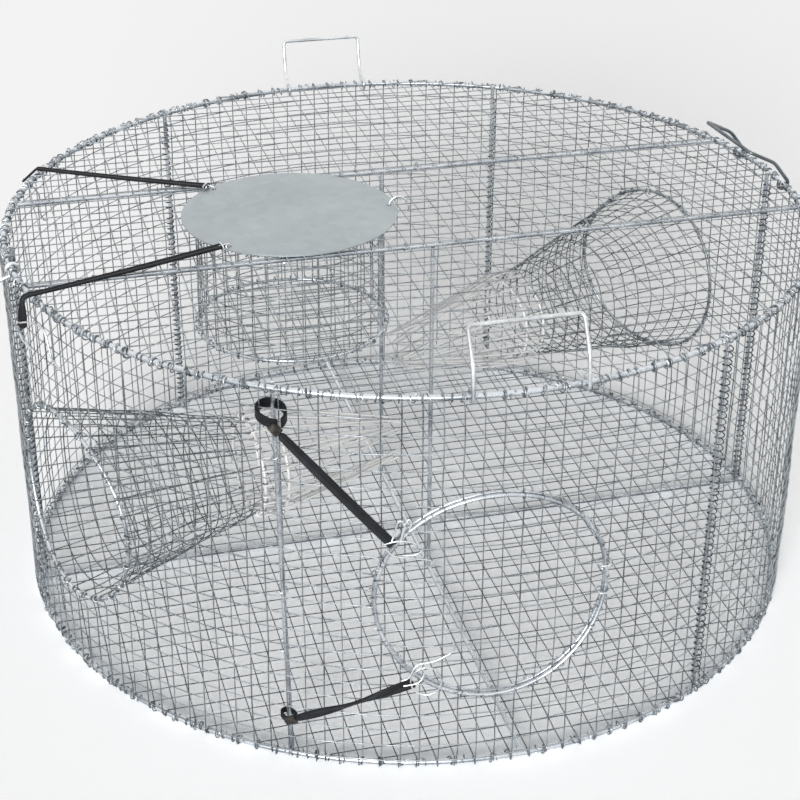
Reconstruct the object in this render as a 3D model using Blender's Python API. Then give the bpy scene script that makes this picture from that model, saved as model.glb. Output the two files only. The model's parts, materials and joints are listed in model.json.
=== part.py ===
"""A drum-shaped fish trap of galvanised rod and welded wire mesh.

Two rod hoops and six uprights carry a mesh wall, top and floor. Two mesh
funnels lead in from opposite sides and end in sprung wire fingers. A mesh
bait tube hangs from the top under a sheet metal lid, and a round door in the
wall empties the catch. Rubber straps hold the lid and the door, and four
loose bails on the top hoop carry the trap.

Metres, +Z up. The origin is on the floor, where the two bottom rods cross.
Angles are degrees round the drum from the front (-Y), turning towards +X.
"""
import math

import bmesh
import bpy
from mathutils import Matrix, Vector

# Driving dimensions
CLEARANCE = 0.0003
DRUM_RADIUS = 0.450
DRUM_HEIGHT = 0.430
HOOP_ROD = 0.006
FRAME_ROD = 0.005
UPRIGHT_ANGLES = (-150, -90, -30.5, 30, 90, 150)
# The upright that the door straps are looped round, and its lean to one side
STRAP_UPRIGHT = 2
STRAP_UPRIGHT_LEAN = -1.1

# Welded mesh, drawn with wider spacing and flatter wire than the real one
MESH_WIRE = 0.004
MESH_THICKNESS = 0.0016
WALL_COLUMNS = 36
WALL_ROWS = 3
FLAT_PITCH = 0.110
FLAT_PHASE_X = -0.011
FLAT_PHASE_Y = 0.010

HANDLE_ROD = 0.004
HANDLE_LOWER_LEG = 0.030
HANDLE_UPPER_LEG = 0.038
HANDLE_KINK = 25
HANDLE_CORNER = 0.0045
HANDLE_EYE_RADIUS = 0.0062
HANDLE_EYE_SWEEP = 265
# Name, angle round the drum, lean from upright, width between the legs
HANDLES = (
    ("front", -0.5, 8, 0.112),
    ("right", 93, 39, 0.110),
    ("back", 179.2, -38, 0.102),
    ("left", -90, -110, 0.110),
)

MOUTH_RADIUS = 0.108
MOUTH_ROD = 0.004
THROAT_RADIUS = 0.055
THROAT_ROD = 0.003
THROAT_SPACING = 0.027
FINGER_WIRE = 0.002
FINGER_COUNT = 12
FINGER_LENGTH = 0.150
FINGER_TIP_RADIUS = 0.018
CONE_COLUMNS = 12
CONE_ROWS = 2
CONE_WIRE_ANGLE = 3
# Side, angle of the mouth, its height, skew of the funnel, mouth to throat
FUNNELS = (("left", -67.5, 0.205, -14, 0.200), ("right", 118.5, 0.216, -6, 0.238))

BAIT_X = -0.135
BAIT_Y = 0.010
BAIT_RADIUS = 0.1055
BAIT_DEPTH = 0.130
BAIT_ROD = 0.004
BAIT_COLUMNS = 12
BAIT_ROWS = 2
BAIT_PITCH = 0.042
LID_RADIUS = 0.121
LID_THICKNESS = 0.0015
LID_TURN = -4
LID_HOLE_INSET = 0.0075
LID_HOLE_RADIUS = 0.003
LID_STRAP_SPREAD = 132
# Side, turn of its hole from the hinge, where it crosses the hoop
LID_STRAPS = (("back", LID_STRAP_SPREAD, -118.2), ("front", -LID_STRAP_SPREAD, -72.2))
LID_HINGE_OFFSET = 0.003
HINGE_WIRE = 0.0025

DOOR_ANGLE = -4.4
DOOR_HEIGHT = 0.209
DOOR_RADIUS = 0.116
DOOR_ROD = 0.004
DOOR_STANDOFF = 0.0063
DOOR_PITCH = 0.046
DOOR_HINGE_SPREAD = 0.016
DOOR_HINGE_RADIUS = 0.00725

STRAP_WIDTH = 0.012
STRAP_THICKNESS = 0.003
HOOK_WIRE = 0.0025
LID_STRAP_RISE = 0.0030
TAIL_LENGTH = 0.044
LOOP_BAND = 0.010
LOOP_THICKNESS = 0.0025
CRIMP_LENGTH = 0.010
CRIMP_WIDTH = 0.013
CRIMP_THICKNESS = 0.006
UPPER_LOOP_DROP = 0.026
LOWER_LOOP_RISE = 0.050
# Name, height of the loop, its inside radius, run from its middle to the crimp,
# clock angle of the strap's end on the door, its distance outside the ring, hook
DOOR_STRAPS = (
    ("upper", DRUM_HEIGHT - UPPER_LOOP_DROP, 0.0110, 0.0088, 145.4, 0.0065, 0.0030),
    ("lower", LOWER_LOOP_RISE, 0.0082, 0.0025, 229.3, 0.0091, 0.0055),
)

# How finely round things are cut
HOOP_STEPS = 48
RING_POINTS = 24
THROAT_POINTS = 18
DISC_SIDES = 36
HOLE_SIDES = 32
DRILL_LENGTH = 0.12

# Worked out from the sizes above
HOOP_LOW = HOOP_ROD / 2
HOOP_HIGH = DRUM_HEIGHT - HOOP_ROD / 2
HOOP_INSIDE = (DRUM_RADIUS - HOOP_ROD / 2) * math.cos(math.pi / HOOP_STEPS)
UPRIGHT_RADIUS = HOOP_INSIDE - CLEARANCE - FRAME_ROD / 2
COLUMN_ANGLE = 360 / WALL_COLUMNS
WALL_WIRE_ANGLE = math.degrees(MESH_WIRE / DRUM_RADIUS)
WALL_HALF_CHORD = math.radians((COLUMN_ANGLE - WALL_WIRE_ANGLE) / 2)
WALL_INSIDE = (DRUM_RADIUS + HOOP_ROD / 2 + CLEARANCE) / math.cos(WALL_HALF_CHORD)
WALL_OUTSIDE = WALL_INSIDE + MESH_THICKNESS
WALL_HEM = HOOP_HIGH - 2.5 * HANDLE_EYE_RADIUS
TOP_MESH_MIDDLE = DRUM_HEIGHT + CLEARANCE + MESH_THICKNESS / 2
TOP_MESH_TOP = TOP_MESH_MIDDLE + MESH_THICKNESS / 2
FLOOR_MESH_MIDDLE = HOOP_ROD + CLEARANCE + MESH_THICKNESS / 2
LONG_ROD_HEIGHT = FLOOR_MESH_MIDDLE + MESH_THICKNESS / 2 + CLEARANCE + FRAME_ROD / 2
MOUTH_DRUM_RADIUS = WALL_OUTSIDE - MOUTH_ROD / 2
BAIT_RIM_RADIUS = (BAIT_RADIUS + CLEARANCE + BAIT_ROD / 2) / math.cos(math.pi / RING_POINTS)
TOP_ROD_OFFSET = BAIT_RIM_RADIUS + BAIT_ROD / 2 + CLEARANCE + FRAME_ROD / 2
BAIT_FLOOR = DRUM_HEIGHT - BAIT_DEPTH
LID_MIDDLE = TOP_MESH_TOP + CLEARANCE + LID_THICKNESS / 2
LID_HINGE_RADIUS = LID_RADIUS + LID_HINGE_OFFSET
LID_LOOP_RADIUS = LID_HINGE_OFFSET + LID_HOLE_INSET
DOOR_DRUM_RADIUS = MOUTH_DRUM_RADIUS + DOOR_STANDOFF
STRAP_END_DRUM_RADIUS = DOOR_DRUM_RADIUS + DOOR_ROD / 2 + CLEARANCE + STRAP_THICKNESS / 2
LID_STRAP_HEIGHT = TOP_MESH_TOP + CLEARANCE + STRAP_THICKNESS / 2


def polar(angle, radius, height):
    """The point at an angle round the drum, a radius and a height."""
    turn = math.radians(angle)
    return Vector((radius * math.sin(turn), -radius * math.cos(turn), height))


def outward(angle):
    return polar(angle, 1, 0)


def tangent(angle):
    """The level direction along the wall, towards larger angles."""
    turn = math.radians(angle)
    return Vector((math.cos(turn), math.sin(turn), 0))


def upright_angle(number, height):
    """Where an upright stands at a height. One of them leans a little."""
    lean = STRAP_UPRIGHT_LEAN if number == STRAP_UPRIGHT else 0
    return UPRIGHT_ANGLES[number] + lean * height / DRUM_HEIGHT


def clear_scene():
    for item in list(bpy.data.objects):
        bpy.data.objects.remove(item)


def material(name, colour, metallic, roughness):
    finish = bpy.data.materials.new(name)
    finish.use_nodes = True
    shader = finish.node_tree.nodes["Principled BSDF"]
    shader.inputs["Base Color"].default_value = (*colour, 1)
    shader.inputs["Metallic"].default_value = metallic
    shader.inputs["Roughness"].default_value = roughness
    finish.diffuse_color = (*colour, 1)
    return finish


def add_object(name, data, finish=None):
    item = bpy.data.objects.new(name, data)
    bpy.context.scene.collection.objects.link(item)
    if finish:
        data.materials.append(finish)
    return item


def from_bmesh(name, shape, finish=None, smooth=False):
    bmesh.ops.recalc_face_normals(shape, faces=shape.faces[:])
    data = bpy.data.meshes.new(name)
    shape.to_mesh(data)
    shape.free()
    if smooth:
        data.shade_smooth()
        data.set_sharp_from_angle(angle=math.radians(50))
    return add_object(name, data, finish)


def as_cutter(item):
    """Marks a helper solid that only shapes another piece."""
    item.hide_render = True
    item.display_type = 'WIRE'
    return item


def combine(item, tool, operation):
    change = item.modifiers.new(operation.title(), 'BOOLEAN')
    change.operation = operation
    change.solver = 'EXACT'
    change.object = as_cutter(tool)


def rod(name, points, diameter, finish, closed=False, sides=6):
    """A round rod bent along a line of points."""
    line = bpy.data.curves.new(name, 'CURVE')
    line.dimensions = '3D'
    line.bevel_depth = diameter / 2
    line.bevel_resolution = (sides - 4) // 2
    line.use_fill_caps = True
    spline = line.splines.new('POLY')
    spline.points.add(len(points) - 1)
    for target, point in zip(spline.points, points):
        target.co = (*point, 1)
    spline.use_cyclic_u = closed
    spline.use_smooth = True
    return add_object(name, line, finish)


def to_mesh_object(name, rods, finish=None):
    """Turns rods into one mesh object, so that a Boolean can use them."""
    shape = bmesh.new()
    bpy.context.view_layer.update()
    depsgraph = bpy.context.evaluated_depsgraph_get()
    for item in rods:
        piece = item.evaluated_get(depsgraph).to_mesh()
        shape.from_mesh(piece)
        item.evaluated_get(depsgraph).to_mesh_clear()
    for item in rods:
        bpy.data.objects.remove(item)
    bmesh.ops.remove_doubles(shape, verts=shape.verts[:], dist=0.00005)
    return from_bmesh(name, shape, finish, smooth=True)


def circle_points(centre, across, upward, radius, count):
    points = []
    for step in range(count):
        turn = 2 * math.pi * step / count
        points.append(centre + radius * (math.cos(turn) * across + math.sin(turn) * upward))
    return points


def wall_point(angle, height, radius, drum_radius, turn):
    """A point of a circle laid on the drum, by its turn from the right."""
    aside = math.degrees(math.asin(radius * math.cos(turn) / drum_radius))
    return polar(angle + aside, drum_radius, height + radius * math.sin(turn))


def wall_circle(angle, height, radius, drum_radius, count):
    """A circle laid on the drum, round when seen straight at the wall."""
    return [wall_point(angle, height, radius, drum_radius, 2 * math.pi * step / count)
            for step in range(count)]


def disc(name, centre, axis, radius, depth, sides, finish=None):
    """A solid disc about a centre, its flat faces square to an axis."""
    shape = bmesh.new()
    turn = axis.to_track_quat('Z', 'Y').to_matrix().to_4x4()
    bmesh.ops.create_cone(shape, cap_ends=True, segments=sides, radius1=radius,
                          radius2=radius, depth=depth, matrix=Matrix.Translation(centre) @ turn)
    return from_bmesh(name, shape, finish, smooth=True)


def washer(name, centre, inside, outside, depth, sides, finish=None):
    """A flat ring with a square section, lying level."""
    shape = bmesh.new()
    corners = []
    for radius, height in ((inside, -1), (outside, -1), (outside, 1), (inside, 1)):
        corners.append(shape.verts.new((centre.x + radius, centre.y, centre.z + height * depth / 2)))
    edges = [shape.edges.new((corners[i - 1], corners[i])) for i in range(4)]
    bmesh.ops.spin(shape, geom=corners + edges, cent=centre, axis=(0, 0, 1),
                   angle=2 * math.pi, steps=sides, use_merge=True)
    bmesh.ops.remove_doubles(shape, verts=shape.verts[:], dist=0.00005)
    return from_bmesh(name, shape, finish, smooth=True)


def block(name, centre, along, normal, length, width, thickness, finish):
    """A box with its length along one direction and its thickness along another."""
    side = normal.cross(along)
    shape = bmesh.new()
    bmesh.ops.create_cube(shape, size=1)
    frame = Matrix((along * length, side * width, normal * thickness)).transposed().to_4x4()
    bmesh.ops.transform(shape, matrix=Matrix.Translation(centre) @ frame, verts=shape.verts[:])
    return from_bmesh(name, shape, finish)


def extruded(name, outline, depth, finish):
    """A flat plate: an outline of points, thickened by a vector."""
    shape = bmesh.new()
    face = shape.faces.new([shape.verts.new(point) for point in outline])
    grown = bmesh.ops.extrude_face_region(shape, geom=[face])
    moved = [part for part in grown["geom"] if isinstance(part, bmesh.types.BMVert)]
    bmesh.ops.translate(shape, vec=depth, verts=moved)
    return from_bmesh(name, shape, finish)


def bands(low, high, centres, width):
    """Splits a length into wires of one width and the gaps between them."""
    result = []
    reached = low
    for centre in centres:
        start = max(centre - width / 2, reached)
        stop = min(centre + width / 2, high)
        if start > reached:
            result.append((reached, start, False))
        result.append((start, stop, True))
        reached = stop
    if reached < high:
        result.append((reached, high, False))
    return result


def lattice(name, columns, rows, place, finish, closed=False):
    """A mesh panel: wires where a column or a row is a wire, and open gaps.

    place gives the point of a column edge, a row edge and a side, where side
    0 is the outer face and side 1 the inner one.
    """
    shape = bmesh.new()
    u_edges = [band[0] for band in columns]
    v_edges = [band[0] for band in rows] + [rows[-1][1]]
    if not closed:
        u_edges.append(columns[-1][1])
    corners = [[[shape.verts.new(place(u, v, side)) for side in (0, 1)] for v in v_edges]
               for u in u_edges]

    def is_wire(column, row):
        if closed:
            column %= len(columns)
        inside = 0 <= column < len(columns) and 0 <= row < len(rows)
        return inside and (columns[column][2] or rows[row][2])

    for column in range(len(columns)):
        after = (column + 1) % len(u_edges)
        for row in range(len(rows)):
            if not is_wire(column, row):
                continue
            ring = [corners[column][row], corners[after][row],
                    corners[after][row + 1], corners[column][row + 1]]
            shape.faces.new([corner[0] for corner in ring])
            shape.faces.new([corner[1] for corner in reversed(ring)])
            beside = ((column, row - 1), (column + 1, row), (column, row + 1), (column - 1, row))
            for start, neighbour in enumerate(beside):
                if not is_wire(*neighbour):
                    a, b = ring[start], ring[(start + 1) % 4]
                    shape.faces.new((a[0], a[1], b[1], b[0]))
    loose = [vert for vert in shape.verts if not vert.link_faces]
    bmesh.ops.delete(shape, geom=loose, context='VERTS')
    return from_bmesh(name, shape, finish)


def spread(start, stop, pitch, phase):
    """Places a pitch apart between two limits, one of them at the phase."""
    first = math.ceil((start - phase) / pitch)
    last = math.floor((stop - phase) / pitch)
    return [phase + pitch * step for step in range(first, last + 1)]


def flat_mesh(name, centre, reach, pitch, phase, finish):
    """A level square mesh panel, trimmed to a circle."""
    lines = {}
    for axis in (0, 1):
        low, high = centre[axis] - reach, centre[axis] + reach
        lines[axis] = bands(low, high, spread(low + MESH_WIRE, high - MESH_WIRE, pitch, phase[axis]),
                            MESH_WIRE)

    def place(u, v, side):
        return Vector((u, v, centre.z + (0.5 - side) * MESH_THICKNESS))

    panel = lattice(name, lines[0], lines[1], place, finish)
    trim = disc(name + "_trim", centre, Vector((0, 0, 1)), reach, 0.02, DISC_SIDES)
    combine(panel, trim, 'INTERSECT')
    return panel


def hang(joint_name, point, pieces):
    """Puts an empty on a joint's axis and parents the moving pieces to it."""
    pivot = add_object(joint_name, None)
    pivot.location = point
    pivot.empty_display_size = 0.03
    bpy.context.view_layer.update()
    for piece in pieces:
        piece.parent = pivot
        piece.matrix_parent_inverse = pivot.matrix_world.inverted()
    return pivot


def make_hoop(name, height, finish):
    """A drum hoop with flat facets above and below, so that it stands flat."""
    shape = bmesh.new()
    start = math.pi / HOOP_STEPS
    corner_radius = HOOP_ROD / 2 / math.cos(math.pi / 8)
    corners = []
    for step in range(8):
        turn = math.radians(22.5 + 45 * step)
        radius = DRUM_RADIUS + corner_radius * math.cos(turn)
        point = (radius * math.cos(start), radius * math.sin(start),
                 height + corner_radius * math.sin(turn))
        corners.append(shape.verts.new(point))
    edges = [shape.edges.new((corners[i - 1], corners[i])) for i in range(8)]
    bmesh.ops.spin(shape, geom=corners + edges, cent=(0, 0, 0), axis=(0, 0, 1),
                   angle=2 * math.pi, steps=HOOP_STEPS, use_merge=True)
    bmesh.ops.remove_doubles(shape, verts=shape.verts[:], dist=0.00005)
    return from_bmesh(name, shape, finish, smooth=True)


def straight_rod(name, start, end, diameter, finish):
    """A straight rod of eight sides, one of them flat underneath."""
    shape = bmesh.new()
    along = end - start
    turn = along.to_track_quat('Z', 'Y').to_matrix().to_4x4()
    twist = Matrix.Rotation(math.radians(22.5), 4, 'Z')
    radius = diameter / 2 / math.cos(math.pi / 8)
    bmesh.ops.create_cone(shape, cap_ends=True, segments=8, radius1=radius, radius2=radius,
                          depth=along.length,
                          matrix=Matrix.Translation((start + end) / 2) @ turn @ twist)
    return from_bmesh(name, shape, finish, smooth=True)


def make_frame(zinc):
    make_hoop("bottom_hoop", HOOP_LOW, zinc)
    make_hoop("top_hoop", HOOP_HIGH, zinc)
    for number in range(len(UPRIGHT_ANGLES)):
        ends = [polar(upright_angle(number, height), UPRIGHT_RADIUS, height)
                for height in (CLEARANCE, DRUM_HEIGHT - CLEARANCE)]
        rod(f"upright_{number + 1}", ends, FRAME_ROD, zinc, sides=8)
    # The cross rod lies on the ground between two uprights, and the long rod
    # lies over the floor mesh with its ends on the bottom hoop.
    reach = UPRIGHT_RADIUS - FRAME_ROD / 2 - CLEARANCE
    straight_rod("bottom_rod_cross", Vector((-reach, 0, FRAME_ROD / 2)),
                 Vector((reach, 0, FRAME_ROD / 2)), FRAME_ROD, zinc)
    straight_rod("bottom_rod_long", Vector((0, -DRUM_RADIUS, LONG_ROD_HEIGHT)),
                 Vector((0, DRUM_RADIUS, LONG_ROD_HEIGHT)), FRAME_ROD, zinc)
    for side, sign in (("front", -1), ("back", 1)):
        y = BAIT_Y + sign * TOP_ROD_OFFSET
        # The rod's corner on the outer side meets the hoop first.
        corner = abs(y) + FRAME_ROD / 2
        half = math.sqrt(HOOP_INSIDE ** 2 - corner ** 2) - CLEARANCE
        straight_rod(f"top_rod_{side}", Vector((-half, y, HOOP_HIGH)),
                     Vector((half, y, HOOP_HIGH)), FRAME_ROD, zinc)
        low = LONG_ROD_HEIGHT + FRAME_ROD / 2 + CLEARANCE
        high = HOOP_HIGH - FRAME_ROD / 2 - CLEARANCE
        rod(f"strut_{side}", (Vector((0, y, low)), Vector((0, y, high))), FRAME_ROD, zinc)


def wall_place(u, v, side):
    return polar(u, WALL_OUTSIDE - side * MESH_THICKNESS, v)


def make_wall_mesh(mesh_zinc):
    """The wall, open at both funnel mouths and behind the door."""
    low = CLEARANCE
    # Wires stand half a column off the front, clear of the handles' eyes.
    centres = [COLUMN_ANGLE * (step + 0.5) - 180 for step in range(WALL_COLUMNS)]
    columns = bands(centres[0] - WALL_WIRE_ANGLE / 2, centres[0] - WALL_WIRE_ANGLE / 2 + 360,
                    centres, WALL_WIRE_ANGLE)
    first = low + MESH_WIRE / 2
    step = (WALL_HEM - first) / WALL_ROWS
    heights = [first + step * row for row in range(WALL_ROWS + 1)]
    rows = bands(low, HOOP_HIGH, heights, MESH_WIRE)
    wall = lattice("wall_mesh", columns, rows, wall_place, mesh_zinc, closed=True)
    openings = [(side, angle, height, MOUTH_RADIUS, MOUTH_ROD)
                for side, angle, height, skew, length in FUNNELS]
    openings.append(("door", DOOR_ANGLE, DOOR_HEIGHT, DOOR_RADIUS, DOOR_ROD))
    for side, angle, height, radius, thickness in openings:
        size = (radius + thickness / 2 + CLEARANCE) / math.cos(math.pi / HOLE_SIDES)
        centre = polar(angle, DRUM_RADIUS, height)
        drill = disc(f"wall_{side}_drill", centre, outward(angle), size, DRILL_LENGTH,
                     HOLE_SIDES)
        combine(wall, drill, 'DIFFERENCE')


def make_flat_meshes(mesh_zinc):
    """The floor and the top, laid on the hoops, the top open over the bait tube."""
    reach = DRUM_RADIUS - HOOP_ROD / 4
    phase = (FLAT_PHASE_X, FLAT_PHASE_Y)
    flat_mesh("floor_mesh", Vector((0, 0, FLOOR_MESH_MIDDLE)), reach, FLAT_PITCH, phase,
              mesh_zinc)
    top = flat_mesh("top_mesh", Vector((0, 0, TOP_MESH_MIDDLE)), reach, FLAT_PITCH, phase,
                    mesh_zinc)
    drill = disc("top_mesh_drill", Vector((BAIT_X, BAIT_Y, TOP_MESH_MIDDLE)),
                 Vector((0, 0, 1)), BAIT_RADIUS, 0.03, DISC_SIDES)
    combine(top, drill, 'DIFFERENCE')


def hoop_depth(angle, aside):
    """How far out the hoop's facet lies, beside the middle of a bail."""
    facet = 360 / HOOP_STEPS
    foot = angle + math.degrees(math.asin(aside / DRUM_RADIUS))
    turn = math.radians(facet * round(foot / facet) - angle)
    flat = DRUM_RADIUS * math.cos(math.pi / HOOP_STEPS)
    return (flat - aside * math.sin(turn)) / math.cos(turn)


def handle_points(half):
    """One bail, in its own frame: X along the hinge, +Y out of the drum."""
    lean = math.radians(HANDLE_KINK)
    knee = Vector((0, HANDLE_EYE_RADIUS, HANDLE_LOWER_LEG))
    upper = Vector((0, -math.sin(lean), math.cos(lean)))
    side = []
    for step in range(8):
        turn = math.radians(-HANDLE_EYE_SWEEP * (1 - step / 7))
        side.append(HANDLE_EYE_RADIUS * Vector((0, math.cos(turn), math.sin(turn))))
    side.append(knee)
    for turn in (0, 45, 90):
        inset = HANDLE_CORNER * (1 - math.cos(math.radians(turn)))
        rise = HANDLE_UPPER_LEG - HANDLE_CORNER * (1 - math.sin(math.radians(turn)))
        side.append(knee + upper * rise + Vector((inset, 0, 0)))
    left = [point + Vector((-half, 0, 0)) for point in side]
    right = [Vector((half - point.x, point.y, point.z)) for point in side]
    return left + list(reversed(right))


def make_handles(zinc):
    """Four bails, hooked round the top hoop and free to swing on it."""
    for name, angle, lean, width in HANDLES:
        half = width / 2
        points = handle_points(half)
        pivot = add_object(f"handle_{name}_pivot", None)
        pivot.empty_display_size = 0.03
        # The hinge line is centred between the hoop's facets that the eyes close round.
        hinge_radius = (hoop_depth(angle, half) + hoop_depth(angle, -half)) / 2
        pivot.location = polar(angle, hinge_radius, HOOP_HIGH)
        pivot.rotation_euler.z = math.radians(angle + 180)
        bail = rod(f"handle_{name}", points, HANDLE_ROD, zinc)
        bail.parent = pivot
        bail.rotation_euler.x = math.radians(lean)


def make_funnel(side, angle, height, skew, length, zinc, mesh_zinc, white):
    """A mesh cone from the wall to a throat ring, and the fingers beyond it."""
    mouth = wall_circle(angle, height, MOUTH_RADIUS, MOUTH_DRUM_RADIUS, RING_POINTS)
    rod(f"{side}_mouth_ring", mouth, MOUTH_ROD, zinc, closed=True)
    start = polar(angle, DRUM_RADIUS, height)
    inward = -outward(angle + skew)
    across = tangent(angle + skew)
    up = Vector((0, 0, 1))
    inner = THROAT_RADIUS * math.cos(math.pi / THROAT_POINTS) - THROAT_ROD / 2
    wide = MOUTH_RADIUS * math.cos(math.pi / RING_POINTS) - MOUTH_ROD / 2 + CLEARANCE
    slope = (wide - inner) / length
    narrow = inner - CLEARANCE - slope * THROAT_ROD / 4

    def place(u, v, layer):
        turn = math.radians(u)
        rim = wide - layer * MESH_THICKNESS
        aside = math.degrees(math.asin(rim * math.cos(turn) / MOUTH_DRUM_RADIUS))
        outer = polar(angle + aside, MOUTH_DRUM_RADIUS, height + rim * math.sin(turn))
        end = narrow - layer * MESH_THICKNESS
        throat = start + inward * length + end * (math.cos(turn) * across + math.sin(turn) * up)
        return outer.lerp(throat, v)

    step = 360 / CONE_COLUMNS
    centres = [step * number for number in range(CONE_COLUMNS)]
    first = centres[0] - CONE_WIRE_ANGLE / 2
    columns = bands(first, first + 360, centres, CONE_WIRE_ANGLE)
    share = MESH_WIRE / length
    middles = [share / 2 + (1 - share) * row / CONE_ROWS for row in range(CONE_ROWS + 1)]
    rows = bands(0, 1, middles, share)
    lattice(f"{side}_cone_mesh", columns, rows, place, mesh_zinc, closed=True)

    throat = start + inward * length
    rod(f"{side}_throat_ring", circle_points(throat, across, up, THROAT_RADIUS, THROAT_POINTS),
        THROAT_ROD, white, closed=True)
    second = throat + inward * THROAT_SPACING
    ring = rod(f"{side}_basket_ring", circle_points(second, across, up, THROAT_RADIUS, THROAT_POINTS),
               THROAT_ROD, white, closed=True)
    basket = to_mesh_object(f"{side}_finger_basket", [ring], white)
    fingers = []
    for number in range(FINGER_COUNT):
        turn = 2 * math.pi * (number + 0.5) / FINGER_COUNT
        spoke = math.cos(turn) * across + math.sin(turn) * up
        butt = throat + inward * (THROAT_ROD / 2 + CLEARANCE) + spoke * THROAT_RADIUS
        held = second + spoke * (THROAT_RADIUS - FINGER_WIRE / 4)
        tip = second + inward * FINGER_LENGTH + spoke * FINGER_TIP_RADIUS
        fingers.append(rod(f"{side}_finger_{number}", (butt, held, tip), FINGER_WIRE, white,
                           sides=4))
    combine(basket, to_mesh_object(f"{side}_fingers", fingers), 'UNION')


def make_bait_tube(zinc, mesh_zinc):
    """The mesh tube that hangs in the top and holds the bait."""
    centre = Vector((BAIT_X, BAIT_Y, 0))
    across, deep = Vector((1, 0, 0)), Vector((0, 1, 0))
    rim_height = DRUM_HEIGHT - BAIT_ROD / 2
    floor_height = BAIT_FLOOR + BAIT_ROD / 2
    for name, height in (("bait_rim_ring", rim_height), ("bait_base_ring", floor_height)):
        spot = centre + Vector((0, 0, height))
        rod(name, circle_points(spot, across, deep, BAIT_RIM_RADIUS, RING_POINTS), BAIT_ROD,
            zinc, closed=True)

    def place(u, v, side):
        radius = BAIT_RADIUS - side * MESH_THICKNESS
        turn = math.radians(u)
        return centre + Vector((radius * math.cos(turn), radius * math.sin(turn), v))

    wire_angle = math.degrees(MESH_WIRE / BAIT_RADIUS)
    middles = [360 / BAIT_COLUMNS * step for step in range(BAIT_COLUMNS)]
    columns = bands(-wire_angle / 2, 360 - wire_angle / 2, middles, wire_angle)
    low, high = BAIT_FLOOR, DRUM_HEIGHT
    step = (high - low - MESH_WIRE) / BAIT_ROWS
    heights = [low + MESH_WIRE / 2 + step * row for row in range(BAIT_ROWS + 1)]
    lattice("bait_tube_mesh", columns, bands(low, high, heights, MESH_WIRE), place, mesh_zinc,
            closed=True)

    base = centre + Vector((0, 0, BAIT_FLOOR - CLEARANCE - MESH_THICKNESS / 2))
    flat_mesh("bait_base_mesh", base, BAIT_RIM_RADIUS, BAIT_PITCH, (BAIT_X, BAIT_Y), mesh_zinc)


def lid_direction(turn):
    angle = math.radians(LID_TURN + turn)
    return Vector((math.cos(angle), math.sin(angle), 0))


def lid_hole(turn):
    """The middle of a hole near the lid's edge."""
    centre = Vector((BAIT_X, BAIT_Y, LID_MIDDLE))
    return centre + lid_direction(turn) * (LID_RADIUS - LID_HOLE_INSET)


def make_lid(lid_metal, zinc):
    """A plain sheet metal disc on a wire loop, with three holes."""
    up = Vector((0, 0, 1))
    centre = Vector((BAIT_X, BAIT_Y, LID_MIDDLE))
    lid = disc("bait_lid", centre, up, LID_RADIUS, LID_THICKNESS, HOOP_STEPS, lid_metal)
    for number, turn in enumerate((0, LID_STRAP_SPREAD, -LID_STRAP_SPREAD)):
        drill = disc(f"lid_drill_{number}", lid_hole(turn), up, LID_HOLE_RADIUS, 0.02, 12)
        combine(lid, drill, 'DIFFERENCE')
    axis_point = centre + lid_direction(0) * LID_HINGE_RADIUS
    hang("lid_hinge_pivot", axis_point, [lid])
    # The loop is round above the hinge, where the lid's hole slides on it, and
    # flat below, where it passes under a wire of the top mesh.
    along = lid_direction(0)
    bottom = DRUM_HEIGHT - HINGE_WIRE / 2 - LID_MIDDLE
    points = []
    for step in range(11):
        turn = math.pi * step / 10
        points.append(axis_point + LID_LOOP_RADIUS * (math.cos(turn) * along + math.sin(turn) * up))
    points.append(axis_point - along * LID_LOOP_RADIUS + up * (bottom + HINGE_WIRE / 2))
    points.append(axis_point - along * (LID_LOOP_RADIUS - HINGE_WIRE / 2) + up * bottom)
    points.append(axis_point + along * (LID_LOOP_RADIUS - HINGE_WIRE / 2) + up * bottom)
    points.append(axis_point + along * LID_LOOP_RADIUS + up * (bottom + HINGE_WIRE / 2))
    rod("lid_hinge_loop", points, HINGE_WIRE, zinc, closed=True)


def door_hinge_point(height):
    """The middle of the door ring's rod, beside the hinge loops."""
    aside = DOOR_RADIUS - DOOR_HINGE_SPREAD * math.tan(math.pi / RING_POINTS)
    turn = math.degrees(math.asin(aside / DOOR_DRUM_RADIUS))
    return polar(DOOR_ANGLE + turn, DOOR_DRUM_RADIUS, height)


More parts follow.
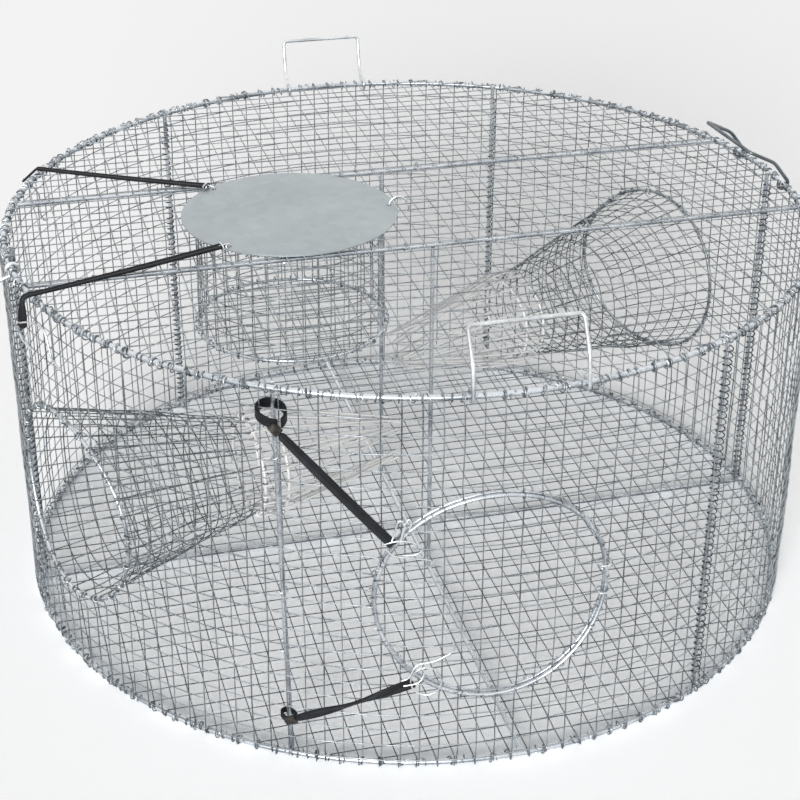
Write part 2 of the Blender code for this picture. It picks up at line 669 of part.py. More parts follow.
def make_door(zinc, mesh_zinc):
    """A round mesh door in front of its opening, hung on two wire loops."""
    frame = wall_circle(DOOR_ANGLE, DOOR_HEIGHT, DOOR_RADIUS, MOUTH_DRUM_RADIUS, RING_POINTS)
    rod("door_frame_ring", frame, DOOR_ROD, zinc, closed=True)
    outer = wall_circle(DOOR_ANGLE, DOOR_HEIGHT, DOOR_RADIUS, DOOR_DRUM_RADIUS, RING_POINTS)
    ring = rod("door_ring", outer, DOOR_ROD, zinc, closed=True)

    def place(u, v, side):
        return polar(u, DOOR_DRUM_RADIUS + (0.5 - side) * MESH_THICKNESS, v)

    wire_angle = math.degrees(MESH_WIRE / DOOR_DRUM_RADIUS)
    pitch = math.degrees(DOOR_PITCH / DOOR_DRUM_RADIUS)
    reach = 3 * pitch
    middles = [DOOR_ANGLE + pitch * step for step in (-2, -1, 0, 1, 2)]
    columns = bands(DOOR_ANGLE - reach, DOOR_ANGLE + reach, middles, wire_angle)
    heights = [DOOR_HEIGHT + DOOR_PITCH * step for step in (-2, -1, 0, 1, 2)]
    rows = bands(DOOR_HEIGHT - 3 * DOOR_PITCH, DOOR_HEIGHT + 3 * DOOR_PITCH, heights, MESH_WIRE)
    panel = lattice("door_mesh", columns, rows, place, mesh_zinc)
    size = DOOR_RADIUS * math.cos(math.pi / RING_POINTS) - DOOR_ROD / 2 - CLEARANCE
    trim = disc("door_trim", polar(DOOR_ANGLE, DRUM_RADIUS, DOOR_HEIGHT), outward(DOOR_ANGLE),
                size, DRILL_LENGTH, HOLE_SIDES)
    combine(panel, trim, 'INTERSECT')

    axis_point = door_hinge_point(DOOR_HEIGHT)
    hang("door_hinge_pivot", axis_point, [ring, panel])
    turn = math.degrees(math.atan2(axis_point.x, -axis_point.y))
    for side, sign in (("upper", 1), ("lower", -1)):
        middle = axis_point - outward(turn) * (DOOR_STANDOFF / 2)
        middle += Vector((0, 0, sign * DOOR_HINGE_SPREAD))
        rod(f"door_hinge_loop_{side}",
            circle_points(middle, tangent(turn), outward(turn), DOOR_HINGE_RADIUS, 14),
            HINGE_WIRE, zinc, closed=True)


def capsule(centre, along, side, length, radius):
    """An outline with one round end about its centre and one square end."""
    points = []
    for step in range(9):
        turn = math.radians(90 + 180 * step / 8)
        points.append(centre + radius * (math.cos(turn) * along + math.sin(turn) * side))
    points.append(centre + along * length - side * radius)
    points.append(centre + along * length + side * radius)
    return points


def door_strap_line(height, loop_radius, clock, beyond):
    """Where a door strap starts over its loop, where it ends, and its face."""
    angle = upright_angle(STRAP_UPRIGHT, height)
    loop = UPRIGHT_RADIUS - FRAME_ROD / 2 - CLEARANCE + loop_radius
    front = loop + loop_radius + LOOP_THICKNESS + CLEARANCE + CRIMP_THICKNESS / 2
    anchor = polar(angle, front, height)
    end = wall_point(DOOR_ANGLE, DOOR_HEIGHT, DOOR_RADIUS + beyond, STRAP_END_DRUM_RADIUS,
                     math.radians(clock))
    along = (end - anchor).normalized()
    facing = (polar(angle, 1, 0) + polar(DOOR_ANGLE, 1, 0)).normalized()
    face = (facing - along * facing.dot(along)).normalized()
    return polar(angle, loop, height), anchor, end, along, face


def make_door_strap(name, height, loop_radius, run, clock, beyond, hook_length, rubber,
                    crimp_metal, zinc):
    """A strap from a loop round an upright to the edge of the door."""
    centre, anchor, end, along, face = door_strap_line(height, loop_radius, clock, beyond)
    washer(f"{name}_strap_loop", centre, loop_radius, loop_radius + LOOP_THICKNESS, LOOP_BAND,
           20, rubber)
    side = face.cross(along)
    block(f"{name}_strap_crimp", anchor + along * (run + CRIMP_LENGTH / 2), along, face,
          CRIMP_LENGTH, CRIMP_WIDTH, CRIMP_THICKNESS, crimp_metal)
    pivot = anchor + along * (run + CRIMP_LENGTH + CLEARANCE + STRAP_WIDTH / 2)
    length = (end - pivot).length
    outline = capsule(pivot - face * STRAP_THICKNESS / 2, along, side, length, STRAP_WIDTH / 2)
    strap = extruded(f"door_strap_{name}", outline, face * STRAP_THICKNESS, rubber)
    shank = end + along * CLEARANCE
    hook = rod(f"door_hook_{name}", (shank, shank + along * hook_length), HOOK_WIRE, zinc)
    hang(f"door_strap_{name}_pivot", pivot, [strap, hook])


def make_lid_strap(name, turn, angle, rubber, zinc):
    """A strap over the top hoop, from a hook in the lid to a tail outside."""
    hole = lid_hole(turn)
    pivot = polar(angle, DRUM_RADIUS, LID_STRAP_HEIGHT)
    reach = Vector((hole.x - pivot.x, hole.y - pivot.y, 0))
    length = reach.length - LID_HOLE_RADIUS - 0.004
    along = (reach.normalized() + Vector((0, 0, LID_STRAP_RISE / length))).normalized()
    side = along.cross(Vector((0, 0, 1))).normalized()
    normal = side.cross(along)
    outline = capsule(pivot - side * STRAP_WIDTH / 2, along, normal, length, STRAP_THICKNESS / 2)
    strap = extruded(f"lid_strap_{name}", outline, side * STRAP_WIDTH, rubber)
    shank = pivot + along * (length + CLEARANCE)
    bend = Vector((hole.x, hole.y, shank.z))
    tip = Vector((hole.x, hole.y, LID_MIDDLE - LID_THICKNESS / 6))
    hook = rod(f"lid_hook_{name}", (shank, bend, tip), HOOK_WIRE, zinc)
    hang(f"lid_strap_{name}_pivot", pivot, [strap, hook])

    # The fixed tail lies over the hoop, under the hinge, and hangs outside.
    face = WALL_OUTSIDE + CLEARANCE
    hoop_face = DRUM_RADIUS + HOOP_ROD / 2 + CLEARANCE
    top = LID_STRAP_HEIGHT - STRAP_THICKNESS / 2 - CLEARANCE
    seat = DRUM_HEIGHT + CLEARANCE
    low = top - TAIL_LENGTH
    corners = ((DRUM_RADIUS - 0.001, seat), (hoop_face, seat),
               (hoop_face, HOOP_HIGH - HOOP_ROD / 2), (face, HOOP_HIGH - HOOP_ROD), (face, low),
               (face + STRAP_THICKNESS, low), (face + STRAP_THICKNESS, HOOP_HIGH - HOOP_ROD),
               (hoop_face + STRAP_THICKNESS, HOOP_HIGH - HOOP_ROD / 2),
               (hoop_face + STRAP_THICKNESS, seat), (hoop_face + STRAP_THICKNESS / 2, top),
               (DRUM_RADIUS - 0.001, top))
    across = tangent(angle)
    outline = [polar(angle, radius, z) - across * STRAP_WIDTH / 2 for radius, z in corners]
    extruded(f"lid_strap_tail_{name}", outline, across * STRAP_WIDTH, rubber)
    # The wire starts under the tail's end and runs along the wall.
    bar = WALL_OUTSIDE + CLEARANCE + HOOK_WIRE / 2
    run = [(0, -0.0020), (2.2, 0.0050), (5.0, 0.0060), (7.0, -0.0040), (8.4, -0.0140)]
    first = low - CLEARANCE - HOOK_WIRE / 2
    points = [polar(angle + aside + STRAP_WIDTH * 60, bar, first + drop) for aside, drop in run]
    rod(f"lid_tail_hook_{name}", points, HOOK_WIRE, zinc)


def main():
    clear_scene()
    zinc = material("galvanised_rod", (0.62, 0.64, 0.65), 1.0, 0.38)
    mesh_zinc = material("galvanised_mesh", (0.50, 0.52, 0.53), 1.0, 0.45)
    white = material("white_coated_wire", (0.86, 0.85, 0.80), 0.0, 0.45)
    rubber = material("black_rubber", (0.02, 0.02, 0.022), 0.0, 0.60)
    crimp_metal = material("crimp_metal", (0.30, 0.27, 0.24), 1.0, 0.50)
    lid_metal = material("galvanised_sheet", (0.60, 0.63, 0.64), 1.0, 0.42)
    make_frame(zinc)
    make_wall_mesh(mesh_zinc)
    make_flat_meshes(mesh_zinc)
    make_handles(zinc)
    for side, angle, height, skew, length in FUNNELS:
        make_funnel(side, angle, height, skew, length, zinc, mesh_zinc, white)
    make_bait_tube(zinc, mesh_zinc)
    make_lid(lid_metal, zinc)
    make_door(zinc, mesh_zinc)
    for strap in DOOR_STRAPS:
        make_door_strap(*strap, rubber, crimp_metal, zinc)
    for name, turn, angle in LID_STRAPS:
        make_lid_strap(name, turn, angle, rubber, zinc)
    bpy.context.view_layer.update()


main()
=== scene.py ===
# %% [markdown]
# # A drum fish trap in galvanised wire
# The real trap is a cage of bent rod covered in welded mesh: hundreds of thin
# wires, each one cut and curled round a rod at its end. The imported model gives
# every piece its place. This lesson draws the real wires, straps and sheet
# metal over it, one kind of piece at a time. Lengths are in metres.

# %% Load the frame
import json
import math
import random

import bpy
from mathutils import Matrix, Vector, noise


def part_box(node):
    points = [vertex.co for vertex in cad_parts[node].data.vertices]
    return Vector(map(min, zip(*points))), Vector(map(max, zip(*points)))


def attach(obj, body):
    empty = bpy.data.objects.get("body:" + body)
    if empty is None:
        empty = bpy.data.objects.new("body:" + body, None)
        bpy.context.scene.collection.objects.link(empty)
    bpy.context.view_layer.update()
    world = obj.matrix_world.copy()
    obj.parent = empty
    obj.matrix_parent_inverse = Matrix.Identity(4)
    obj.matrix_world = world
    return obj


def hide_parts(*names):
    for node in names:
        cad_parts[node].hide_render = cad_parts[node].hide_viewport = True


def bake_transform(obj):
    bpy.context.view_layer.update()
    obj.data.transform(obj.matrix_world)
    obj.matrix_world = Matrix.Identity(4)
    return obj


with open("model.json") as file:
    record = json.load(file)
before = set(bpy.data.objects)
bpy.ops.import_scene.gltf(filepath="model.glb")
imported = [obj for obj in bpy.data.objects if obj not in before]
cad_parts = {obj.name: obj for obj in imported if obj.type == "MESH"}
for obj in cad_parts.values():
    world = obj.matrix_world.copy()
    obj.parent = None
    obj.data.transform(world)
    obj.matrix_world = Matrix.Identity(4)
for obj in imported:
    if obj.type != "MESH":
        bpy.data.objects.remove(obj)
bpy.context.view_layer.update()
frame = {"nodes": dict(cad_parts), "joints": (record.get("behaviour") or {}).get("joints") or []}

# %% [markdown]
# ## Camera
# The photograph was taken from a little above head height on a stool, through
# a longish lens. Its place was worked out from the two hoops: two ellipses of
# one known drum fix the camera's height, distance and turn.

# %% Set the camera
CAMERA_PLACE = Vector((-0.4918, -1.8040, 1.1927))
CAMERA_TILT = 61.59
CAMERA_TURN = -15.0
CAMERA_ROLL = 0.25
CAMERA_LENS = 79.68
CAMERA_SENSOR = 36.0

camera_data = bpy.data.cameras.new("camera")
camera_data.lens = CAMERA_LENS
camera_data.sensor_width = CAMERA_SENSOR
camera = bpy.data.objects.new("camera", camera_data)
bpy.context.scene.collection.objects.link(camera)
turn = Matrix.Rotation(math.radians(CAMERA_TURN), 4, 'Z')
tilt = Matrix.Rotation(math.radians(CAMERA_TILT), 4, 'X')
roll = Matrix.Rotation(math.radians(CAMERA_ROLL), 4, 'Z')
camera.matrix_world = Matrix.Translation(CAMERA_PLACE) @ turn @ tilt @ roll
bpy.context.scene.camera = camera
print("camera at", [round(value, 3) for value in camera.location])

# %% [markdown]
# ## Helpers for materials
# Colours are easiest to compare with a photograph as sRGB hex values, but a
# shader works in linear light, so one function turns the one into the other.
# Two more set up a node and link it. The rest make what most finishes share: a
# noise of a known size, a drift between two tones, a range and a fine relief.

# %% Colour and node helpers
def linear(hex_colour):
    """An sRGB hex value as the linear colour that a shader takes."""
    parts = []
    for start in (0, 2, 4):
        value = int(hex_colour[start:start + 2], 16) / 255
        if value <= 0.04045:
            parts.append(value / 12.92)
        else:
            parts.append(((value + 0.055) / 1.055) ** 2.4)
    return (*parts, 1)


def fill(tree, node, settings, links=None):
    """Sets a node's inputs or properties, and links its inputs."""
    for key, value in settings.items():
        if isinstance(key, int) or key in node.inputs:
            node.inputs[key].default_value = value
        else:
            setattr(node, key, value)
    for key, source in (links or {}).items():
        tree.links.new(source, node.inputs[key])
    return node


def add(tree, kind, settings, links=None):
    """Adds a node with its settings and links."""
    return fill(tree, tree.nodes.new(kind), settings, links)


def new_material(name):
    """A material with its Principled shader, and object coordinates in metres."""
    finish = bpy.data.materials.new(name)
    finish.use_nodes = True
    tree = finish.node_tree
    place = add(tree, "ShaderNodeTexCoord", {})
    return finish, tree, tree.nodes["Principled BSDF"], place.outputs["Object"]


def speckle(tree, place, size_mm, detail):
    """A noise with patches about this many millimetres across."""
    return add(tree, "ShaderNodeTexNoise", {"Scale": 1000 / size_mm, "Detail": detail},
               {"Vector": place}).outputs["Fac"]


def two_tones(tree, value, *stops):
    """A drift between two colours, each given as (value, hex)."""
    tone = add(tree, "ShaderNodeValToRGB", {}, {"Fac": value})
    for element, (position, colour) in zip(tone.color_ramp.elements, stops):
        element.position = position
        element.color = linear(colour)
    return tone.outputs["Color"]


def ranged(tree, value, first, last, start=0, stop=1):
    """First where the value is at its start, and last where it is at its stop."""
    return add(tree, "ShaderNodeMapRange",
               {"From Min": start, "From Max": stop, "To Min": first, "To Max": last},
               {"Value": value}).outputs[0]


def relief(tree, height, strength, depth):
    """A bump that is this deep at full strength."""
    return add(tree, "ShaderNodeBump", {"Strength": strength, "Distance": depth},
               {"Height": height}).outputs[0]


print("white is", linear("FFFFFF")[:3])

# %% [markdown]
# ## Light and floor
# Galvanised wire shows whatever is round it, so the studio is an even white
# dome, which also gives the white background. One broad and low sun, like a
# row of windows, stands behind the camera. Its light passes the wall and then
# skims the floor mesh, so the floor inside the trap turns grey, and the rest
# of the soft shadow falls behind the trap. The floor is pale and matt paper,
# and only what the camera and the wire see of it is lifted to white. It lies
# just under the lowest of the wire ends that curl round the bottom hoop.

# %% Make the studio
WORLD_LIGHT = 0.13
SUN_STRENGTH = 2.9
# In degrees: above the floor, round the drum from its front, and across.
SUN_HEIGHT = 12
SUN_BEARING = -26
SUN_ANGLE = 34
FLOOR_SIZE = 24.0
FLOOR_DROP = 0.0032
# The paper's colour as it lights the trap, and as it is seen.
FLOOR_PAPER = 0.70
FLOOR_SEEN = 2.75

scene = bpy.context.scene
scene.view_settings.view_transform = 'Standard'


def seen_ray(tree):
    """1 for rays from the camera and through or off the object, or else 0."""
    path = add(tree, "ShaderNodeLightPath", {})
    seen = path.outputs["Is Camera Ray"]
    for kind in ("Is Glossy Ray", "Is Transmission Ray"):
        seen = add(tree, "ShaderNodeMath", {"operation": 'MAXIMUM'},
                   {0: seen, 1: path.outputs[kind]}).outputs[0]
    return seen


world = bpy.data.worlds.new("studio")
scene.world = world
world.use_nodes = True
tree = world.node_tree
fill(tree, tree.nodes["Background"], {"Color": linear("FFFFFF")},
     {"Strength": ranged(tree, seen_ray(tree), WORLD_LIGHT, 1.0)})

sun_data = bpy.data.lights.new("broad_sun", 'SUN')
sun_data.energy = SUN_STRENGTH
sun_data.angle = math.radians(SUN_ANGLE)
sun = bpy.data.objects.new("broad_sun", sun_data)
bearing, rise = math.radians(SUN_BEARING), math.radians(SUN_HEIGHT)
towards = Vector((math.sin(bearing) * math.cos(rise),
                  -math.cos(bearing) * math.cos(rise), math.sin(rise)))
sun.rotation_euler = (-towards).to_track_quat('-Z', 'Y').to_euler()
scene.collection.objects.link(sun)

floor_paper, tree = new_material("matt_white_paper")[:2]
paper = ranged(tree, seen_ray(tree), FLOOR_PAPER, FLOOR_SEEN)
matt = add(tree, "ShaderNodeBsdfDiffuse", {}, {"Color": paper})
fill(tree, tree.nodes["Material Output"], {}, {"Surface": matt.outputs[0]})
half = FLOOR_SIZE / 2
floor_data = bpy.data.meshes.new("floor")
floor_data.from_pydata([(x, y, -FLOOR_DROP) for x, y in
                        ((-half, -half), (half, -half), (half, half), (-half, half))],
                       [], [(0, 1, 2, 3)])
floor_data.materials.append(floor_paper)
floor = bpy.data.objects.new("floor", floor_data)
scene.collection.objects.link(floor)
print("floor drop", FLOOR_DROP)

# %% [markdown]
# ## Galvanised steel
# All the rod and wire is mild steel dipped in molten zinc. Zinc makes a soft,
# patchy shine: bright where it froze smooth, grey where it has dulled. So the
# colour and the roughness both follow a slow noise, 30 or 40 mm across on the
# long pieces, and a fine one of 2 mm, the size of the runs and grains that
# dipping leaves. The tone also follows the way the surface faces: upper sides
# get a painted highlight and undersides get painted shade. The mesh is duller
# than the rods, because its zinc is thinner. The floor and the left cone are
# darker still, as painted shade. The right cone, the right bail and one in
# three rim ties are darker again, also as painted shade. The lacing is nearly
# black. The straps' clips are brown steel.

# %% Make the zinc finishes
ZINC_DULL, ZINC_BRIGHT = 0.36, 0.64
GRAIN_SHARE = 0.35
GRAIN_DEPTH = 0.0002


def zinc(name, dull, bright, rough, shiny, patch_mm, grain_mm, bump, painted_top_light):
    """Zinc on steel: patches between two tones, a fine grain, a painted highlight on top and
    painted shade below.
    """
    finish, tree, shader, place = new_material(name)
    patch = speckle(tree, place, patch_mm, 3.0)
    grain = speckle(tree, place, grain_mm, 2.0)
    mixed = add(tree, "ShaderNodeMix", {"data_type": 'FLOAT', 0: GRAIN_SHARE},
                {2: patch, 3: grain})
    skin = add(tree, "ShaderNodeTexCoord", {})
    facing = add(tree, "ShaderNodeSeparateXYZ", {}, {0: skin.outputs["Normal"]})
    # Painted light: sides that face up get a lighter tone, a painted highlight, and sides that
    # face down get a darker one, painted shade.
    patches_and_painted_top_light = add(tree, "ShaderNodeMath", {"operation": 'MULTIPLY_ADD', 1: painted_top_light},
               {0: facing.outputs["Z"], 2: mixed.outputs[0]}).outputs[0]
    fill(tree, shader, {"Metallic": 1.0},
         {"Base Color": two_tones(tree, patches_and_painted_top_light, (ZINC_DULL, dull), (ZINC_BRIGHT, bright)),
          "Roughness": ranged(tree, patches_and_painted_top_light, rough, shiny, ZINC_DULL, ZINC_BRIGHT),
          "Normal": relief(tree, grain, bump, GRAIN_DEPTH)})
    return finish


# Each finish: its dull and bright tones, the roughness of each, the size of its
# patches and its grain in millimetres, its bump, and how strong its painted top
# highlight and underside shade are.
(mesh_zinc, painted_shade_mesh_zinc, painted_deep_shade_zinc, lace_zinc, rod_zinc, hook_zinc, tie_zinc,
 crimp_steel) = (zinc(*row) for row in (
    ("dull_galvanised_mesh", "4E5559", "B2B8BC", 0.50, 0.34, 30, 2, 0.5, 0.14),
    # Painted shade: a darker mesh finish for the floor and the left cone.
    ("scuffed_galvanised_mesh", "4E5458", "84898D", 0.55, 0.40, 30, 2, 0.5, 0.05),
    # Painted shade: the darkest zinc, for the right cone, the right bail and one in three rim
    # ties.
    ("galvanised_wire_painted_deep_shade", "4A5054", "7E8488", 0.55, 0.40, 30, 2, 0.5, 0.08),
    ("near_black_galvanised_lace", "2A2F32", "565B5F", 0.60, 0.45, 12, 2, 0.5, 0.08),
    ("galvanised_rod", "747C84", "E0E5EA", 0.44, 0.22, 40, 2, 0.4, 0.16),
    ("bright_galvanised_hook", "A4AAAE", "EEF1F2", 0.40, 0.20, 20, 2, 0.3, 0.10),
    ("worn_galvanised_tie", "6A7175", "DCE0E3", 0.45, 0.25, 8, 2, 0.3, 0.12),
    ("browned_steel_crimp", "2C2A27", "504E4A", 0.60, 0.45, 6, 1, 0.6, 0.05)))
print("zinc finishes:", mesh_zinc.name, rod_zinc.name, hook_zinc.name)

# %% [markdown]
# ## A helper for wire
# Wire is a line with a round section, which is what a Blender curve with a
# bevel is. One curve object can hold hundreds of separate lines, so a whole
# mesh panel is one object. The thinnest wire gets four sides, since it is
# about a pixel wide, and the rods get more.

# %% Make wires
MESH_WIRE = 0.00138


def fit(piece, body, nodes):
    """Puts a piece on its body, and in place of its CAD nodes."""
    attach(piece, body)
    if nodes:
        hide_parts(*nodes)


def wire(name, runs, diameter, finish, *nodes, body="frame", slot="galvanised_rod",
         closed=False, sides=8):
    """Round wires along lists of points, riding on a body of the frame."""
    data = bpy.data.curves.new(name, 'CURVE')
    data.dimensions = '3D'
    data.bevel_depth = diameter / 2
    # A bevel has four sides, and two more for each step of its resolution.
    data.bevel_resolution = (sides - 4) // 2
    data.use_fill_caps = True
    for run in runs:
        spline = data.splines.new('POLY')
        spline.points.add(len(run) - 1)
        for target, point in zip(spline.points, run):
            target.co = (*point, 1)
        spline.use_cyclic_u = closed
        spline.use_smooth = True
    data.materials.append(finish)
    piece = bpy.data.objects.new(name, data)
    scene.collection.objects.link(piece)
    fit(piece, body, nodes)


def mesh(name, runs, finish, *nodes, body="frame"):
    """A panel of welded mesh, from the lines of its wires."""
    wire(name, runs, MESH_WIRE, finish, *nodes, body=body, slot="galvanised_mesh",
         sides=4)


print("mesh wire", MESH_WIRE)

# %% [markdown]
# ## Places on the drum
# Almost everything sits on a circle: the drum, a ring, or a turn of wire. So
# one function gives a direction by its turn between two others, and one gives
# a point by its angle round the drum, from the front towards +X. A wire that
# is cut by a round opening stops at a chord of it.

# %% Find places
X_AXIS, Y_AXIS, UP = Vector((1, 0, 0)), Vector((0, 1, 0)), Vector((0, 0, 1))
# The openings' rings are bent to this radius, a little outside the drum's own.
RING_DRUM_RADIUS = 0.4545


def turned(turn, first, second):
    """The direction that is this turn, in radians, from first to second."""
    return math.cos(turn) * first + math.sin(turn) * second


def on_drum(angle, radius, height):
    """A point by its angle round the drum, in degrees."""
    turn = math.radians(angle)
    return Vector((radius * math.sin(turn), -radius * math.cos(turn), height))


def outward(angle):
    return on_drum(angle, 1, 0)


def tangent(angle):
    turn = math.radians(angle)
    return Vector((math.cos(turn), math.sin(turn), 0))


def drum_angle(point):
    return math.degrees(math.atan2(point.x, -point.y))


def half_chord(radius, offset):
    """Half the length of a circle's chord, at this distance from its middle."""
    return math.sqrt(radius ** 2 - offset ** 2)


def circle(centre, across, upward, radius, count):
    return [centre + radius * turned(2 * math.pi * step / count, across, upward)
            for step in range(count)]


def wall_point(angle, height, radius, turn, drum_radius=RING_DRUM_RADIUS):
    """A point of a circle wrapped onto the drum, and its angle round the drum."""
    around = angle + math.degrees(math.asin(radius * math.cos(turn) / drum_radius))
    return on_drum(around, drum_radius, height + radius * math.sin(turn)), around


def wall_circle(angle, height, radius, count, drum_radius=RING_DRUM_RADIUS):
    return [wall_point(angle, height, radius, 2 * math.pi * step / count, drum_radius)[0]
            for step in range(count)]


def soft_line(points, steps=4):
    """More points, on a soft line through the given ones."""
    line = []
    ends = [2 * points[0] - points[1], *points, 2 * points[-1] - points[-2]]
    for before, start, stop, after in zip(ends, ends[1:], ends[2:], ends[3:]):
        for step in range(steps):
            share = step / steps
            line.append(0.5 * (2 * start + (stop - before) * share
                               + (2 * before - 5 * start + 4 * stop - after) * share ** 2
                               + (3 * start - before - 3 * stop + after) * share ** 3))
    return line + [points[-1]]


def on_wall(places, radius):
    """A soft line over the wall, by (angle, height, how far it stands off)."""
    return soft_line([on_drum(angle, radius + stand, height)
                      for angle, height, stand in places])


def corners(node):
    low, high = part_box(node)
    return Vector(low), Vector(high)


def middle(node):
    low, high = corners(node)
    return (low + high) / 2


TOP_HOOP = middle("top_hoop").z
BOTTOM_HOOP = middle("bottom_hoop").z
HOOP_ROD = 0.006
# The CAD hoop has flat facets, so its box is a little smaller than its circle.
FACET_LOSS = 0.00096
DRUM_RADIUS = corners("top_hoop")[1].x - HOOP_ROD / 2 + FACET_LOSS
print("drum radius", round(DRUM_RADIUS, 4), "hoops at", BOTTOM_HOOP, TOP_HOOP)

# %% [markdown]
# ## Hoops, uprights and cross rods
# The frame is welded from straight and rolled rod. Each straight one takes its
# place from its CAD node: its middle and its length. The hoops are drawn with
# far more points than the CAD ones, so that no corner shows on the rim.

# %% Make the frame rods
HOOP_POINTS = 180
FRAME_ROD = 0.005
STRAIGHT_STEPS = 8
LEANING_UPRIGHT = "upright_3"

for name, height in (("top_hoop", TOP_HOOP), ("bottom_hoop", BOTTOM_HOOP)):
    points = [on_drum(360 * step / HOOP_POINTS, DRUM_RADIUS, height)
              for step in range(HOOP_POINTS)]
    wire(name + "_rod", [points], HOOP_ROD, rod_zinc, name, closed=True, sides=12)

straight = sorted(name for name in frame["nodes"]
                  if name.startswith(("upright_", "top_rod_", "bottom_rod_", "strut_")))
runs = []
for name in straight:
    low, high = corners(name)
    sizes = high - low
    axis = max(range(3), key=lambda index: sizes[index])
    start = (low + high) / 2
    stop = start.copy()
    start[axis], stop[axis] = low[axis], high[axis]
    if name == LEANING_UPRIGHT:
        # Its foot is the end of its box that is nearer the front.
        start.x, start.y = high.x - FRAME_ROD / 2, low.y + FRAME_ROD / 2
        stop.x, stop.y = low.x + FRAME_ROD / 2, high.y - FRAME_ROD / 2
    runs.append([start.lerp(stop, step / STRAIGHT_STEPS)
                 for step in range(STRAIGHT_STEPS + 1)])
wire("frame_rods", runs, FRAME_ROD, rod_zinc, *straight, sides=10)
print("straight rods:", len(runs))

# %% [markdown]
# ## Wire ends
# Welded mesh has no hem. Each wire is cut long and its end is curled round the
# rod that it meets, so every hoop and ring looks wrapped. A curl is a few
# points on a circle round the rod: it starts where the wire comes in, turns
# towards where the wire was heading, and slides a little along the rod.

# %% Curl a wire end round a rod
MESH_PITCH = 0.019
WAVER = 0.0016
WAVER_SIZE = 0.07
# How far a curl goes round, in degrees, for each of its points and at least.
CURL_STEP = 42
CURL_LEAST = 190
CURL_SLIDE = 0.003
CURL_SLACK = 1.12
rng = random.Random(7)
# Blender's own noise takes its offsets from the clock unless it is seeded.
noise.seed_set(7)


def curl(centre, side, onward, radius, sweep, slide):
    """Points round a rod's centre, from one side of it and on round."""
    steps = max(2, round(sweep / CURL_STEP))
    return [centre + radius * turned(math.radians(sweep * step / steps), side, onward)
            + slide * step / steps for step in range(steps + 1)]


def random_curl(centre, side, onward, radius, along, most=310):
    """A curl as a worker leaves it: a different sweep and slant each time."""
    sweep = rng.uniform(CURL_LEAST, most)
    slide = along * rng.uniform(-CURL_SLIDE, CURL_SLIDE)
    return curl(centre, side, onward, radius * rng.uniform(1.0, CURL_SLACK), sweep, slide)


def waver(point, share=1.0):
    """The small drift of a mesh that has been cut, rolled and handled."""
    return point + WAVER * share * noise.noise_vector(point / WAVER_SIZE)


def spans(low, high, cuts):
    """What is left of a length after cuts, and which of its ends are cut."""
    kept = []
    start, start_cut = low, False
    for cut_low, cut_high in sorted(cuts):
        kept.append((start, cut_low, start_cut, True))
        start, start_cut = cut_high, True
    kept.append((start, high, start_cut, False))
    return kept


print("mesh pitch", MESH_PITCH)

# %% [markdown]
# ## The wall mesh
# Upright wires run just outside the hoops, and level wires are welded over
# them. Each crossing is worked out once, with its drift, and both wires use
# it, so they stay welded together. The three round openings, two mouths and
# the door, cut the wires, which then curl round the opening's ring.

# %% Make the wall mesh
WALL_WIRES = 148
WALL_RADIUS = DRUM_RADIUS + HOOP_ROD / 2 + MESH_WIRE
RING_ROD = 0.004
RING_GRIP = (RING_ROD + MESH_WIRE) / 2
# The round openings: the angle, the height and the radius of each.
MOUTH_RADIUS = 0.108
MOUTHS = {"left": (-67.5, 0.205, MOUTH_RADIUS), "right": (118.5, 0.216, MOUTH_RADIUS)}
DOOR = (-4.4, 0.209, 0.116)
DOOR_ANGLE, DOOR_HEIGHT, DOOR_RADIUS = DOOR
OPENINGS = [*MOUTHS.values(), DOOR]
BAIL_EYES = (-7.6, 6.7, 86.0, 100.0, 172.7, 185.7, -97.0, -83.0)
EYE_CLEAR = 0.75
ROW_HEIGHTS = [TOP_HOOP - MESH_PITCH * row for row in range(22, 0, -1)]
# How near its edge an opening still cuts a wire, and how near its end a wire
# still has a crossing. How much of a wire's width two crossing wires share.
EDGE_CLEAR = 0.002
END_CLEAR = 0.006
WELD_DEPTH = 0.45
LAYER_STEP = 0.9


def near_eye(angle, clear=EYE_CLEAR):
    """True where a bail's eye turns on the top hoop."""
    return any(abs(away(angle, eye)) < clear for eye in BAIL_EYES)


def away(angle, centre):
    """The signed angle from one direction to another, within a half turn."""
    return (angle - centre + 180) % 360 - 180


def crossing(angle, height, layer):
    """Where two wall wires cross, for the inner (-1) or outer (1) one."""
    point = waver(on_drum(angle, WALL_RADIUS, height))
    return point + outward(angle) * layer * MESH_WIRE * WELD_DEPTH


def wall_end(angle, height, cut, onward, along, most=310):
    """A wall wire's end, round an opening's ring if it is cut, or else a hoop."""
    radius, rod = (RING_DRUM_RADIUS, RING_ROD) if cut else (DRUM_RADIUS, HOOP_ROD)
    return random_curl(on_drum(angle, radius, height), outward(angle), onward,
                       (rod + MESH_WIRE) / 2, along, most)


runs = []
for number in range(WALL_WIRES):
    angle = 360 * (number + 0.5) / WALL_WIRES - 180
    along = tangent(angle)
    cuts = []
    for centre, height, radius in OPENINGS:
        aside = away(angle, centre)
        across = DRUM_RADIUS * math.sin(math.radians(aside))
        if abs(aside) < 60 and abs(across) < radius - EDGE_CLEAR:
            half = half_chord(radius, across)
            cuts.append((height - half, height + half))
    for low, high, low_cut, high_cut in spans(BOTTOM_HOOP, TOP_HOOP, cuts):
        most = 310 if low_cut else 250
        points = wall_end(angle, low, low_cut, -UP, along, most)[::-1]
        points += [crossing(angle, height, -1) for height in ROW_HEIGHTS
                   if low + END_CLEAR < height < high - END_CLEAR]
        if high_cut or not near_eye(angle):
            points += wall_end(angle, high, high_cut, UP, along)
        runs.append(points)

